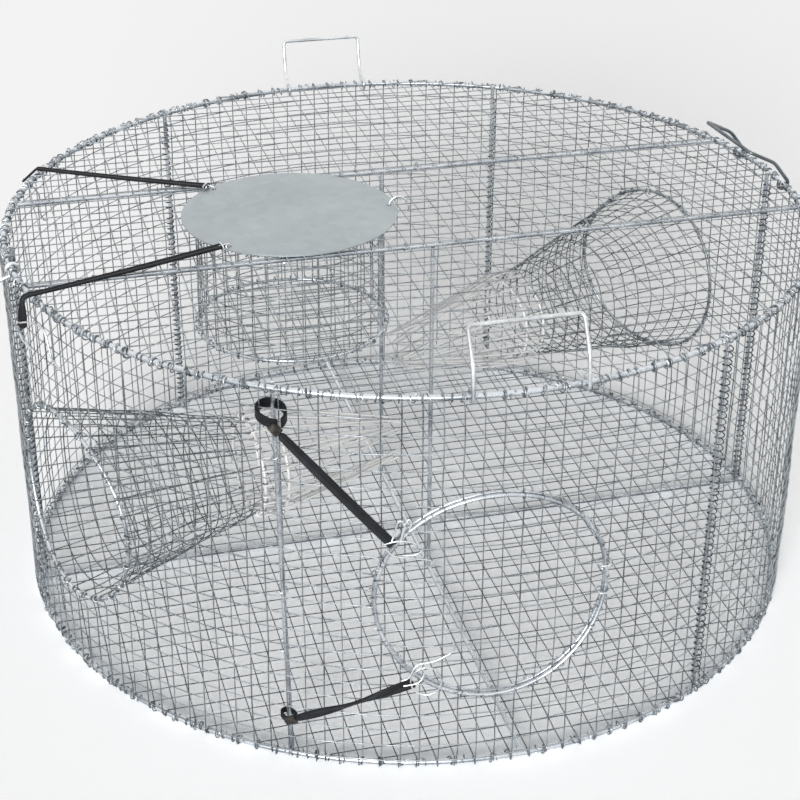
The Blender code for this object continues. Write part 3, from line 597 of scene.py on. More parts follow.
for height in ROW_HEIGHTS:
    cuts = []
    for centre, middle_height, radius in OPENINGS:
        drop = abs(height - middle_height)
        if drop < radius - EDGE_CLEAR:
            aside = math.degrees(math.asin(half_chord(radius, drop) / DRUM_RADIUS))
            cuts.append((centre - aside, centre + aside))
    pieces = spans(-180, 180, cuts)
    if cuts:
        # The first and last pieces meet at the back, so they are one wire.
        last = pieces.pop()
        first = pieces.pop(0)
        pieces.append((last[0], first[1] + 360, True, True))
    for low, high, low_cut, high_cut in pieces:
        points = []
        if low_cut:
            points += wall_end(low, height, True, -tangent(low), UP)[::-1]
        first = math.ceil((low + 1.0) / 360 * WALL_WIRES - 0.5)
        last = math.floor((high - 1.0) / 360 * WALL_WIRES - 0.5)
        if not cuts:
            last = first + WALL_WIRES
        points += [crossing(360 * (number + 0.5) / WALL_WIRES, height, 1)
                   for number in range(first, last + 1)]
        if high_cut:
            points += wall_end(high, height, True, tangent(high), UP)
        runs.append(points)
mesh("wall_wires", runs, mesh_zinc, "wall_mesh")
print("wall wires:", len(runs))

# %% [markdown]
# ## The top and the floor
# These are flat squares of the same mesh, trimmed to the drum. The lower layer
# runs left to right and the upper one front to back. The ends curl down over
# the hoops, and in the top they also curl into the bait tube's rim.

# %% Make the flat meshes
BAIT_CENTRE = Vector((-0.135, 0.010, 0))
BAIT_RING_RADIUS = 0.1088
BAIT_RIM_HEIGHT = middle("bait_rim_ring").z
BAIT_BASE_HEIGHT = middle("bait_base_ring").z
AXES = (X_AXIS, Y_AXIS)
PHASE = (-0.011, 0.010)
FLAT_LIMIT = 0.438
FLAT_CLEAR = 0.008
# A flat mesh on rods can't sag as freely as it can drift sideways.
FLAT_SAG = 0.15


def flat_panel(height, hoop_height, hole, most):
    """Wires both ways at two levels, with their ends curled."""
    runs = []
    for axis in (0, 1):
        level = height + axis * MESH_WIRE * LAYER_STEP
        along, across = AXES[axis], AXES[1 - axis]
        phase, side_phase = PHASE[axis], PHASE[1 - axis]
        first = math.ceil((-FLAT_LIMIT - side_phase) / MESH_PITCH)
        last = math.floor((FLAT_LIMIT - side_phase) / MESH_PITCH)
        for number in range(first, last + 1):
            offset = side_phase + number * MESH_PITCH
            reach = half_chord(DRUM_RADIUS, offset)
            drop = offset - BAIT_CENTRE[1 - axis]
            cuts = []
            if hole and abs(drop) < BAIT_RING_RADIUS - EDGE_CLEAR:
                half = half_chord(BAIT_RING_RADIUS, drop)
                cuts.append((BAIT_CENTRE[axis] - half, BAIT_CENTRE[axis] + half))
            for low, high, low_cut, high_cut in spans(-reach, reach, cuts):
                ends = []
                for spot, cut in ((low, low_cut), (high, high_cut)):
                    point = along * spot + across * offset
                    onward = (BAIT_CENTRE - point if cut else point).normalized()
                    centre = point + UP * (BAIT_RIM_HEIGHT if cut else hoop_height)
                    if hole and not cut and near_eye(drum_angle(point)):
                        ends.append([point + UP * level - onward * END_CLEAR])
                    else:
                        ends.append(random_curl(centre, UP, onward, level - centre.z,
                                                UP.cross(onward), most))
                points = ends[0][::-1]
                step = math.ceil((low + FLAT_CLEAR - phase) / MESH_PITCH)
                while phase + step * MESH_PITCH < high - FLAT_CLEAR:
                    spot = phase + step * MESH_PITCH
                    point = along * spot + across * offset + UP * level
                    drift = WAVER * noise.noise_vector(point / WAVER_SIZE)
                    drift.z *= FLAT_SAG
                    points.append(point + drift)
                    step += 1
                runs.append(points + ends[1])
    return runs


for name, hoop_height, hole, most, finish in (
        ("top", TOP_HOOP, True, 290, mesh_zinc),
        # The floor mesh takes the darker finish, as painted shade.
        ("floor", BOTTOM_HOOP, False, 165, painted_shade_mesh_zinc)):
    level = hoop_height + HOOP_ROD / 2 + MESH_WIRE / 2
    runs = flat_panel(level, hoop_height, hole, most)
    mesh(name + "_wires", runs, finish, name + "_mesh")
    print(name, "wires:", len(runs))

# %% [markdown]
# ## Bails
# Four handles are bent from thinner rod. Each foot is rolled into an eye round
# the top hoop, so the bail is loose, and the leg has a kink that brings the
# grip in over the trap. The same few sizes as in the CAD give the line, with
# more points in its bends.

# %% Make the bails
HANDLE_ROD = 0.0042
LOWER_LEG = 0.030
UPPER_LEG = 0.038
KINK = math.radians(25)
KINK_BEND = 0.006
CORNER = 0.0050
EYE_RADIUS = 0.0062
EYE_SWEEP = 265
# Each bail: its angle round the drum, its lean outwards, and its width.
HANDLES = {"front": (-0.5, 8, 0.112), "right": (93, 39, 0.110),
           "back": (179.2, -38, 0.102), "left": (-90, -110, 0.110)}
joints = {joint["name"]: joint for joint in frame["joints"]}


def bail_side():
    """Half a bail in its own frame: X along the hinge, Y out of the drum."""
    points = [EYE_RADIUS * turned(math.radians(-EYE_SWEEP * (1 - step / 14)), Y_AXIS, UP)
              for step in range(15)]
    knee = Vector((0, EYE_RADIUS, LOWER_LEG))
    upper = Vector((0, -math.sin(KINK), math.cos(KINK)))
    for step in range(5):
        # The bend at the knee is a short curve and not a corner.
        share = step / 4
        before = knee - UP * KINK_BEND * (1 - share)
        after = knee + upper * KINK_BEND * share
        points.append(before.lerp(after, share))
    for step in range(7):
        turn = math.radians(15 * step)
        rise = UPPER_LEG - CORNER * (1 - math.sin(turn))
        points.append(knee + upper * rise + X_AXIS * CORNER * (1 - math.cos(turn)))
    return points


side_points = bail_side()
for name, (angle, lean, width) in HANDLES.items():
    left = [point - X_AXIS * width / 2 for point in side_points]
    right = [Vector((-point.x, point.y, point.z)) for point in left]
    swing = Matrix.Rotation(math.radians(lean), 4, 'X')
    face = Matrix.Rotation(math.radians(angle + 180), 4, 'Z')
    spot = Matrix.Translation(Vector(joints[f"handle_{name}_hinge"]["pos_m"]))
    run = [spot @ face @ swing @ point for point in left + right[::-1]]
    # The right one takes the darker finish, as painted shade, like the funnel under it.
    wire(f"bail_{name}", [run], HANDLE_ROD, painted_deep_shade_zinc if name == "right" else hook_zinc,
         f"handle_{name}", body=f"handle_{name}", sides=10)
print("bails:", len(HANDLES))

# %% [markdown]
# ## White plastic coat
# The throat rings and fingers are sprung wire in white PVC. Plastic that is
# dipped on is smooth and glossy, with a clear skin. This one is clean, so the
# colour is close to pure white, with a faint drift where it has been handled.

# %% Make the white coat
white_coat, tree, shader, place = new_material("white_pvc_coat")
tone = two_tones(tree, speckle(tree, place, 25, 2.0), (0.35, "F8F8F7"), (0.65, "FFFFFE"))
fill(tree, shader, {"Roughness": 0.36, "IOR": 1.53, "Specular IOR Level": 0.8,
                    "Coat Weight": 1.0, "Coat Roughness": 0.15}, {"Base Color": tone})
print("coat:", white_coat.name)

# %% [markdown]
# ## Funnels
# A funnel is a strip of mesh rolled into a cone. Its wires curl round the
# mouth ring at the wall. Every wire runs the whole way at first, and half of
# them stop midway, because a cone has less and less room. The white ring at
# its throat carries the fingers: straight sprung wires that pass a second ring
# and lean together, so that a fish can push in but not out.

# %% Make the funnels
# Each funnel: its skew in degrees, its length, the length of its fingers, and
# the finishes of its ring and its cone. The cones are darker than the wall mesh,
# and the right one's ring and cone are darker than the left's, all as painted shade.
FUNNELS = {"left": (-14, 0.200, 0.150, rod_zinc, painted_shade_mesh_zinc),
           "right": (-6, 0.238, 0.168, mesh_zinc, painted_deep_shade_zinc)}
CONE_WIRES = 34
CONE_LAP = 5
SHORT_WIRE = 0.55
THROAT_RADIUS = 0.055
THROAT_ROD = 0.0040
THROAT_SPACING = 0.027
FINGER_WIRE = 0.0028
FINGERS = 24
BUNCH = 8
TIP_RADIUS = 0.024

for side, mouth in MOUTHS.items():
    skew, length, finger_length, ring_finish, cone_finish = FUNNELS[side]
    wire(f"{side}_mouth_rod", [wall_circle(*mouth, 96)], RING_ROD, ring_finish,
         f"{side}_mouth_ring", closed=True)
    angle, height = mouth[:2]
    inward = -outward(angle + skew)
    across = tangent(angle + skew)
    throat = on_drum(angle, DRUM_RADIUS, height) + inward * length
    rim = MOUTH_RADIUS - RING_ROD / 2 - MESH_WIRE / 2
    neck = THROAT_RADIUS - THROAT_ROD / 2 - MESH_WIRE / 2

    def cone_point(turn, share, layer):
        """A point on the cone by its turn and how far in it is."""
        lift = layer * MESH_WIRE * 0.5
        outer = wall_point(angle, height, rim + lift, turn)[0]
        inner = throat + turned(turn, across, UP) * (neck + lift)
        point = outer.lerp(inner, share)
        # A cone is dented more than flat mesh, but not where its rings hold it.
        held = min(1, 6 * share, 8 * (1 - share))
        return point + 1.6 * WAVER * noise.noise_vector(point / WAVER_SIZE * 1.4) * held

    runs = []
    rows = round(length / MESH_PITCH * 1.15)
    for number in range(CONE_WIRES):
        turn = 2 * math.pi * (number + 0.5) / CONE_WIRES
        spot, around = wall_point(*mouth, turn)
        level = tangent(around)
        points = random_curl(spot, -turned(turn, level, UP), outward(around), RING_GRIP,
                             turned(turn, UP, -level))[::-1]
        whole = number % 2 == 0
        last = rows - 1 if whole else round(rows * SHORT_WIRE)
        points += [cone_point(turn, row / rows, 1) for row in range(1, last + 1)]
        if whole:
            spoke = turned(turn, across, UP)
            points += random_curl(throat + spoke * THROAT_RADIUS, -spoke, inward,
                                  (THROAT_ROD + MESH_WIRE) / 2, turned(turn, UP, -across))
        runs.append(points)
    for row in range(1, rows):
        count = 2 * CONE_WIRES
        # Each hoop wire laps past its start, as it does where the cone is sewn up.
        runs.append([cone_point(2 * math.pi * step / count, row / rows, -1)
                     for step in range(count + CONE_LAP)])
    mesh(f"{side}_cone_wires", runs, cone_finish, f"{side}_cone_mesh")

    second = throat + inward * THROAT_SPACING
    for name, spot, nodes in (("throat", throat, [f"{side}_throat_ring"]),
                              ("basket", second, [])):
        wire(f"{side}_{name}_rod", [circle(spot, across, UP, THROAT_RADIUS, 64)],
             THROAT_ROD, white_coat, *nodes, slot="white_coated_wire", closed=True)
    runs = []
    grip = (THROAT_ROD + FINGER_WIRE) / 2
    for number in range(FINGERS):
        turn = 2 * math.pi * (number + rng.uniform(0.3, 0.7)) / FINGERS
        spoke = turned(turn, across, UP)
        butt = curl(throat + spoke * THROAT_RADIUS, spoke, -inward, grip, 200,
                    turned(turn, UP, -across) * rng.uniform(-0.002, 0.002))
        held = second + spoke * (THROAT_RADIUS + grip)
        # The tips lean together in three bunches, which is how they end up in use.
        bunch = 2 * math.pi * (number // BUNCH + 0.5) * BUNCH / FINGERS
        lean = turn + (bunch - turn) * rng.uniform(0.55, 0.85)
        reach = finger_length * rng.uniform(0.90, 1.02)
        tip = second + inward * reach + (
            turned(lean, across, UP) * TIP_RADIUS * rng.uniform(0.55, 1.15))
        bow = spoke * rng.uniform(0.000, 0.003)
        runs.append(butt[::-1] + [held] + [
            held.lerp(tip, step / 5) + bow * math.sin(math.pi * step / 5)
            for step in range(1, 6)])
    wire(f"{side}_fingers", runs, FINGER_WIRE, white_coat, f"{side}_finger_basket",
         slot="white_coated_wire", sides=6)
    print(side, "funnel: cone rows", rows, "fingers", len(runs))

# %% [markdown]
# ## Bait tube
# The bait goes in a short mesh tube under the lid. Its upright wires curl
# outwards over the rim ring and under the base ring, and a round of flat mesh
# closes the bottom.

# %% Make the bait tube
TUBE_WIRES = 36
TUBE_ROWS = 7
BASE_REACH = 5

rings = [circle(BAIT_CENTRE + UP * height, X_AXIS, Y_AXIS, BAIT_RING_RADIUS, 80)
         for height in (BAIT_RIM_HEIGHT, BAIT_BASE_HEIGHT)]
wire("bait_rings", rings, RING_ROD, rod_zinc, "bait_rim_ring", "bait_base_ring",
     closed=True)

runs = []
inner = BAIT_RING_RADIUS - RING_GRIP
levels = [BAIT_BASE_HEIGHT + (BAIT_RIM_HEIGHT - BAIT_BASE_HEIGHT) * row / TUBE_ROWS
          for row in range(1, TUBE_ROWS)]
for number in range(TUBE_WIRES):
    turn = 2 * math.pi * (number + 0.5) / TUBE_WIRES
    spoke, along = turned(turn, X_AXIS, Y_AXIS), turned(turn, Y_AXIS, -X_AXIS)
    edge = BAIT_CENTRE + spoke * BAIT_RING_RADIUS
    low = random_curl(edge + UP * BAIT_BASE_HEIGHT, -spoke, -UP, RING_GRIP, along)
    high = random_curl(edge + UP * BAIT_RIM_HEIGHT, -spoke, UP, RING_GRIP, along, 200)
    runs.append(low[::-1] + [waver(BAIT_CENTRE + spoke * inner + UP * level)
                             for level in levels] + high)
for level in levels:
    points = []
    for step in range(TUBE_WIRES + 2):
        spoke = turned(2 * math.pi * (step + 0.5) / TUBE_WIRES, X_AXIS, Y_AXIS)
        points.append(waver(BAIT_CENTRE + spoke * inner + UP * level)
                      - spoke * MESH_WIRE * LAYER_STEP)
    runs.append(points)
for axis in (0, 1):
    along, across = AXES[axis], AXES[1 - axis]
    level = BAIT_BASE_HEIGHT - RING_GRIP - axis * MESH_WIRE * LAYER_STEP
    for number in range(-BASE_REACH, BASE_REACH + 1):
        offset = number * MESH_PITCH
        half = half_chord(BAIT_RING_RADIUS, offset)
        ends = []
        for sign in (-1, 1):
            flat = along * sign * half + across * offset
            onward = flat.normalized()
            ends.append(random_curl(BAIT_CENTRE + flat + UP * BAIT_BASE_HEIGHT, -UP,
                                    onward, BAIT_BASE_HEIGHT - level,
                                    UP.cross(onward), 240))
        between = [waver(BAIT_CENTRE + along * step * MESH_PITCH + across * offset
                         + UP * level) for step in range(-BASE_REACH, BASE_REACH + 1)
                   if abs(step * MESH_PITCH) < half - END_CLEAR]
        runs.append(ends[0][::-1] + between + ends[1])
mesh("bait_wires", runs, mesh_zinc, "bait_tube_mesh", "bait_base_mesh")
print("bait wires:", len(runs))

# %% [markdown]
# ## Lid
# The lid is a disc cut from galvanised sheet, nearly plain grey. New sheet
# shows flat crystals of zinc, called spangle, about 12 mm across, and dull
# rubs from handling. Spangle is what a Voronoi pattern looks like, so each
# cell gets a slightly different tone and roughness. The CAD disc has the right
# shape already and only takes this finish. A loop of wire through its edge and
# round the mesh is its hinge.

# %% Finish the lid
sheet_zinc, tree, shader, place = new_material("galvanised_sheet_lid")
spangle = add(tree, "ShaderNodeTexVoronoi", {"Scale": 1000 / 12}, {"Vector": place})
cell = add(tree, "ShaderNodeSeparateColor", {}, {"Color": spangle.outputs["Color"]})
mixed = add(tree, "ShaderNodeMix", {"data_type": 'FLOAT', 0: 0.75},
            {2: cell.outputs[0], 3: speckle(tree, place, 90, 4.0)}).outputs[0]
fill(tree, shader, {"Metallic": 1.0},
     {"Base Color": two_tones(tree, mixed, (0.2, "AAB1B4"), (0.8, "BCC3C5")),
      "Roughness": ranged(tree, mixed, 0.46, 0.56)})
frame["nodes"]["bait_lid"].data.materials.clear()
frame["nodes"]["bait_lid"].data.materials.append(sheet_zinc)

LID_HINGE = Vector((-0.0113, 0.00135, 0))
LID_TURN = -4
LID_ACROSS = tangent(LID_TURN)
LID_LEVEL = middle("bait_lid").z
HINGE_WIRE = 0.0024
LOOP_RADIUS = 0.0105
# The loop's foot, under the mesh: how far along from the hinge, and how high
# above the top hoop, each point of it lies.
LOOP_FOOT = ((-0.0105, -0.0005), (-0.0085, -0.0020), (0.0095, -0.0020),
             (0.0120, -0.0005), (0.0127, 0.0055))
points = [LID_HINGE + UP * LID_LEVEL + LOOP_RADIUS * turned(math.pi * step / 16,
                                                            LID_ACROSS, UP)
          for step in range(17)]
points += [LID_HINGE + LID_ACROSS * aside + UP * (TOP_HOOP + rise)
           for aside, rise in LOOP_FOOT]
wire("lid_hinge_wire", [points], HINGE_WIRE, hook_zinc, "lid_hinge_loop")
print("lid level", round(LID_LEVEL, 4))

# %% [markdown]
# ## Door
# The door is a ring of rod with its own round of mesh. It hangs on wire ties
# round the opening's ring, which is the same size, so the two rings show as a
# pair. The door's wires curl round the door's own ring and move with it.

# %% Make the door
DOOR_DRUM_RADIUS = 0.4608
DOOR_MESH_INSET = 0.0012
# Where the mesh starts, sideways and upwards, in shares of its pitch.
DOOR_PHASE = (0.35, 0.2)
DOOR_EDGE = 0.004
DOOR_SWEEP = 250
HINGE_TIE_RADIUS = 0.0070
HINGE_TIE_RISE = 0.0022
HINGE_TIE_WIRE = 0.0018
for name, radius, body in (("door_frame", RING_DRUM_RADIUS, "frame"),
                           ("door", DOOR_DRUM_RADIUS, "door")):
    wire(name + "_rod", [wall_circle(*DOOR, 96, radius)], RING_ROD, rod_zinc,
         name + "_ring", body=body, closed=True)


def door_crossing(angle, level, layer):
    """Where two of the door's wires cross, this far above its middle."""
    radius = DOOR_DRUM_RADIUS - DOOR_MESH_INSET + layer * MESH_WIRE * WELD_DEPTH
    return waver(on_drum(angle, radius, DOOR_HEIGHT + level), 0.7)


def door_end(angle, level, onward, along):
    """The end of a door wire, curled round the door's ring."""
    centre = on_drum(angle, DOOR_DRUM_RADIUS, DOOR_HEIGHT + level)
    return random_curl(centre, -outward(angle), onward, RING_GRIP, along, DOOR_SWEEP)


pitch_angle = math.degrees(MESH_PITCH / DOOR_DRUM_RADIUS)
columns = [DOOR_ANGLE + (number + DOOR_PHASE[0]) * pitch_angle for number in range(-6, 7)]
levels = [(row + DOOR_PHASE[1]) * MESH_PITCH for row in range(-6, 7)]
runs = []
for angle in columns:
    along = tangent(angle)
    across = DOOR_DRUM_RADIUS * math.sin(math.radians(angle - DOOR_ANGLE))
    if abs(across) < DOOR_RADIUS - DOOR_EDGE:
        half = half_chord(DOOR_RADIUS, across)
        low, high = (door_end(angle, level, (UP * level + along * across).normalized(),
                              along) for level in (-half, half))
        runs.append(low[::-1] + [door_crossing(angle, level, -1) for level in levels
                                 if abs(level) < half - END_CLEAR] + high)
for level in levels:
    if abs(level) < DOOR_RADIUS - DOOR_EDGE:
        half = half_chord(DOOR_RADIUS, level)
        reach = math.degrees(math.asin(half / DOOR_DRUM_RADIUS))
        low, high = (door_end(DOOR_ANGLE + sign * reach, level,
                              sign * tangent(DOOR_ANGLE + sign * reach), UP)
                     for sign in (-1, 1))
        runs.append(low[::-1] + [door_crossing(angle, level, 1) for angle in columns
                                 if abs(angle - DOOR_ANGLE) < reach - 0.9] + high)
mesh("door_wires", runs, mesh_zinc, "door_mesh", body="door")

runs = []
HINGE_LOOPS = ("door_hinge_loop_lower", "door_hinge_loop_upper")
for node in HINGE_LOOPS:
    centre = middle(node)
    angle = drum_angle(centre)
    runs.append([centre + HINGE_TIE_RADIUS * turned(2 * math.pi * step / 20,
                                                    outward(angle), tangent(angle))
                 + UP * HINGE_TIE_RISE * (step / 26 - 0.5) for step in range(27)])
wire("door_hinge_ties", runs, HINGE_TIE_WIRE, hook_zinc, *HINGE_LOOPS)
print("door wires and two hinge ties")

# %% [markdown]
# ## Rubber
# The straps are strips of black rubber, the kind cut for tying down. Rubber
# is matt, and where it is stretched or has been handled it goes a lighter
# blue-grey, so the colour drifts between the two over about 15 mm, with a fine
# grain on top.

# %% Make the rubber
rubber, tree, shader, place = new_material("black_epdm_rubber")
bloom = speckle(tree, place, 15, 5.0)
fill(tree, shader, {"Roughness": 0.55, "IOR": 1.52, "Specular IOR Level": 0.25},
     {"Base Color": two_tones(tree, bloom, (0.40, "0D0F12"), (0.70, "20242A")),
      "Normal": relief(tree, speckle(tree, place, 0.8, 2.0), 0.4, 0.0001)})
print("rubber:", rubber.name)

# %% [markdown]
# ## Straps
# A strap is one section carried along a line: flat, with round edges and a
# groove down its face. At each station the section is placed by two
# directions, across and out of the face, and the stations are joined into one
# skin with closed ends.

# %% Carry a section along a line
EDGE_BEVEL = 0.28


def strap_section(width, thickness, groove):
    """A grooved strap's section, as points round its edge."""
    half, deep = width / 2, thickness / 2
    bevel = thickness * EDGE_BEVEL
    return [(-half, -deep + bevel), (-half + bevel, -deep), (half - bevel, -deep),
            (half, -deep + bevel), (half, deep - bevel), (half - bevel, deep),
            (width * 0.14, deep), (width * 0.06, deep - groove),
            (-width * 0.06, deep - groove), (-width * 0.14, deep),
            (-half + bevel, deep), (-half, deep - bevel)]


def loft(name, stations, finish):
    """A closed skin through sections: (centre, across, face, section)."""
    verts, faces = [], []
    for centre, across, face, section in stations:
        for side, out in section:
            verts.append(centre + across * side + face * out)
    count = len(stations[0][3])
    for step in range(len(stations) - 1):
        for corner in range(count):
            after = (corner + 1) % count
            a, b = step * count + corner, step * count + after
            faces.append((a, b, b + count, a + count))
    faces.append(tuple(reversed(range(count))))
    last = (len(stations) - 1) * count
    faces.append(tuple(range(last, last + count)))
    data = bpy.data.meshes.new(name)
    data.from_pydata(verts, [], faces)
    data.validate()
    data.materials.append(finish)
    data.shade_smooth()
    data.set_sharp_from_angle(angle=math.radians(40))
    piece = bpy.data.objects.new(name, data)
    scene.collection.objects.link(piece)
    return piece


print("a section has", len(strap_section(1, 1, 0)), "points")

# %% [markdown]
# ## Lid straps
# Each lid strap runs from its hook in the lid to the top hoop, bends over it
# and hangs down the wall as a short tail. The strap swings with the lid and
# the tail is fixed. Here the band is one fixed piece from the tail over the
# hoop, and only its hook wire rides on the strap's body.

# %% Make the lid straps
STRAP_WIDTH = 0.012
STRAP_THICKNESS = 0.003
# Each strap: the hole in the lid, the place on the hoop, and how its tail lies
# beyond the hoop: reach, radius of the bend, droop in degrees, and length.
LID_STRAPS = (("back", 132, -118.6, 0.0010, 0.0040, 43, 0.026),
              ("front", -132, -72.2, 0.0080, 0.0060, 85, 0.029))
# From its end to the bend: how far along the tail, and how wide it is.
TAIL_SHAPES = {"back": ((1, 0.12), (0.8, 0.62), (0.5, 0.88), (0.15, 0.84)),
               "front": ((1, 0.50), (0.92, 0.82), (0.6, 0.88), (0.15, 0.82))}
# How far each tail's face is turned round the drum from the hoop, in degrees.
TAIL_TWIST = {"back": 0, "front": 34}
TAIL_WIRE_RADIUS = 0.4598
TAIL_WIRES = {
    "back": [[(-118.6, 0.4190, 0.0120), (-118.9, 0.4120, 0.0050), (-119.2, 0.4043, 0),
              (-120.3, 0.3923, 0), (-120.0, 0.3744, 0), (-120.9, 0.3603, 0),
              (-122.2, 0.3563, 0)]],
    "front": [[(-73.2, 0.4030, 0.0086), (-72.0, 0.4065, 0.0088), (-70.9, 0.4100, 0.0060),
               (-69.5, 0.4118, 0.0030), (-68.1, 0.4118, 0.0010), (-67.4, 0.4091, 0),
               (-66.8, 0.3998, 0), (-66.3, 0.3877, 0), (-65.8, 0.3823, 0),
               (-64.3, 0.3760, 0)],
              [(-76.3, 0.3769, 0), (-74.6, 0.3741, 0.0008), (-72.2, 0.3733, 0)]]}
LID_RADIUS = 0.121
HOLE_INSET = 0.0075
LID_HOOK_WIRE = 0.0020
# The strap stops this far short of the hole, and rises this much on its way.
STRAP_SHORT = 0.007
STRAP_RISE = 0.003
# How wide the strap is where it crosses the hoop.
BEND_WIDTH = 0.70
for name, turn, angle, reach, bend, droop, tail_length in LID_STRAPS:
    hole = BAIT_CENTRE + (LID_RADIUS - HOLE_INSET) * tangent(turn + LID_TURN)
    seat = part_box(f"lid_strap_tail_{name}")[1][2] + 0.0003 + STRAP_THICKNESS / 2
    over = on_drum(angle, DRUM_RADIUS, seat)
    inward = Vector((hole.x - over.x, hole.y - over.y, 0))
    length = inward.length - STRAP_SHORT
    inward.normalize()
    across = inward.cross(UP)
    out = outward(angle)
    stations = []
    # Beyond the hoop, from the cut end of the tail and up over the bend.
    droop = math.radians(droop)
    pivot = over + out * reach - UP * bend
    down = turned(droop, out, -UP)
    face = turned(droop, UP, out)
    for share, width in TAIL_SHAPES[name]:
        section = strap_section(STRAP_WIDTH * width, STRAP_THICKNESS * 0.9, 0.0004)
        around = angle + TAIL_TWIST[name] * min(1, 1.6 * share)
        stations.append((pivot + face * bend + down * tail_length * share,
                         -tangent(around), turned(droop, UP, outward(around)), section))
    section = strap_section(STRAP_WIDTH * BEND_WIDTH, STRAP_THICKNESS * 0.85, 0.0004)
    for step in range(6):
        face = turned(droop * (1 - step / 5), UP, out)
        stations.append((pivot + face * bend, -tangent(angle), face, section))
    for step in range(13):
        share = 0.012 + 0.988 * step / 12
        centre = over + inward * length * share + UP * STRAP_RISE * share
        if 0 < step < 12:
            centre -= UP * 0.0008 * math.sin(math.pi * share)
        section = strap_section(STRAP_WIDTH * (BEND_WIDTH + 0.22 * share),
                                STRAP_THICKNESS * (0.8 + 0.2 * share), 0.0006)
        stations.append((centre, -across, UP, section))
    band = loft(f"lid_band_{name}", stations, rubber)
    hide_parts(f"lid_strap_{name}", f"lid_strap_tail_{name}")
    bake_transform(band)

    # The hook is one wire pushed through the strap's end and bent into the hole,
    # and a second one wound round the strap's end.
    end = over + inward * length + UP * STRAP_RISE
    runs = [[end - inward * 0.006 + UP * 0.0002, end + inward * 0.002 + UP * 0.0006]]
    for level, aside in ((end.z + 0.0002, -0.001), (LID_LEVEL + 0.001, 0.0002),
                         (LID_LEVEL - 0.0002, 0.0002)):
        runs[0].append(Vector((hole.x, hole.y, level)) + inward * aside)
    cuff = end - inward * 0.004
    runs.append([cuff + across * 0.0072 * math.cos(step * 0.7)
                 + UP * 0.0026 * math.sin(step * 0.7) + inward * 0.0004 * step
                 for step in range(11)])
    wire(f"lid_hook_wire_{name}", runs, LID_HOOK_WIRE, hook_zinc, f"lid_hook_{name}",
         body=f"lid_strap_{name}")

    # The tail's wire leaves its end, arches along the wall and bends down.
    runs = [on_wall(places, TAIL_WIRE_RADIUS) for places in TAIL_WIRES[name]]
    wire(f"lid_tail_wire_{name}", runs, LID_HOOK_WIRE, hook_zinc, f"lid_tail_hook_{name}")
    print("lid strap", name, "length", round(length, 4))

# %% [markdown]
# ## Door straps
# Each door strap is looped round an upright and crimped, and its far end
# carries a wire that hooks over the door's ring. The loop and the crimp stay
# on the frame. The strap and its hook swing about the crimp's mouth, so they
# ride on the strap's own body.

# %% Make the door straps
LOOP_BANDS = {"upper": 0.0105, "lower": 0.0065}
# The loop's shape: its width against its length, and how much it stands off.
LOOP_PINCH = {"upper": 1.0, "lower": 0.66}
LOOP_GROWTH = {"upper": 0.0014, "lower": 0.0}
LOOP_THICKNESS = 0.0026
CRIMP_LENGTH = 0.0100
CRIMP_GAP = 0.0046
# Along the crimp: how far, how wide, and how thick.
CRIMP_SHAPE = ((0.0, 0.0078, 0.0050), (0.08, 0.0085, 0.0060), (0.6, 0.0094, 0.0056),
               (0.92, 0.0098, 0.0050), (1.0, 0.0092, 0.0044))
# The strap's twist in degrees, its bow off the wall, and its width at its start.
STRAP_TWIST = {"upper": 0, "lower": 50}
STRAP_BOW = {"upper": 0.0012, "lower": 0.0040}
STRAP_NARROW = {"upper": 0.70, "lower": 0.78}
DOOR_HOOK_WIRE = 0.0018
HOOK_RADIUS = 0.4645
HOOK_WIRES = {
    "upper": [[(-17.7, 0.2785, 0.0022), (-16.9, 0.2812, 0.0026), (-16.0, 0.2821, 0.0018),
               (-14.8, 0.2806, 0.0008), (-13.6, 0.2764, 0), (-13.3, 0.2718, 0),
               (-14.1, 0.2660, 0), (-15.5, 0.2648, 0)],
              [(-17.7, 0.2745, 0.0022), (-16.7, 0.2655, 0.0016), (-14.6, 0.2622, 0.0005),
               (-12.4, 0.2590, 0), (-11.9, 0.2532, 0)],
              [(-16.9, 0.2820, 0.0024), (-16.6, 0.2894, 0.0008), (-16.2, 0.3017, 0),
               (-15.7, 0.3028, 0), (-15.4, 0.2962, 0), (-15.6, 0.2880, 0)],
              [(-15.9, 0.2800, 0.0018), (-15.6, 0.2920, 0.0006), (-15.1, 0.3040, 0),
               (-14.7, 0.3029, 0), (-14.8, 0.2940, 0)]],
    "lower": [[(-12.7 + 1.85 * math.cos(0.42 * step),
                0.118 + 0.0158 * math.sin(0.42 * step), 0.00025 * step)
               for step in range(18)],
              [(-15.6, 0.1205, 0.0040), (-14.8, 0.1240, 0.0040), (-14.0, 0.1359, 0.0016),
               (-13.4, 0.1383, 0.0006), (-11.5, 0.1415, 0), (-9.5, 0.1518, 0),
               (-9.3, 0.1614, 0), (-10.3, 0.1656, 0)],
              [(-15.4, 0.1140, 0.0040), (-13.6, 0.1180, 0.0036), (-12.9, 0.1290, 0.0010),
               (-13.8, 0.1370, 0.0020)]]}
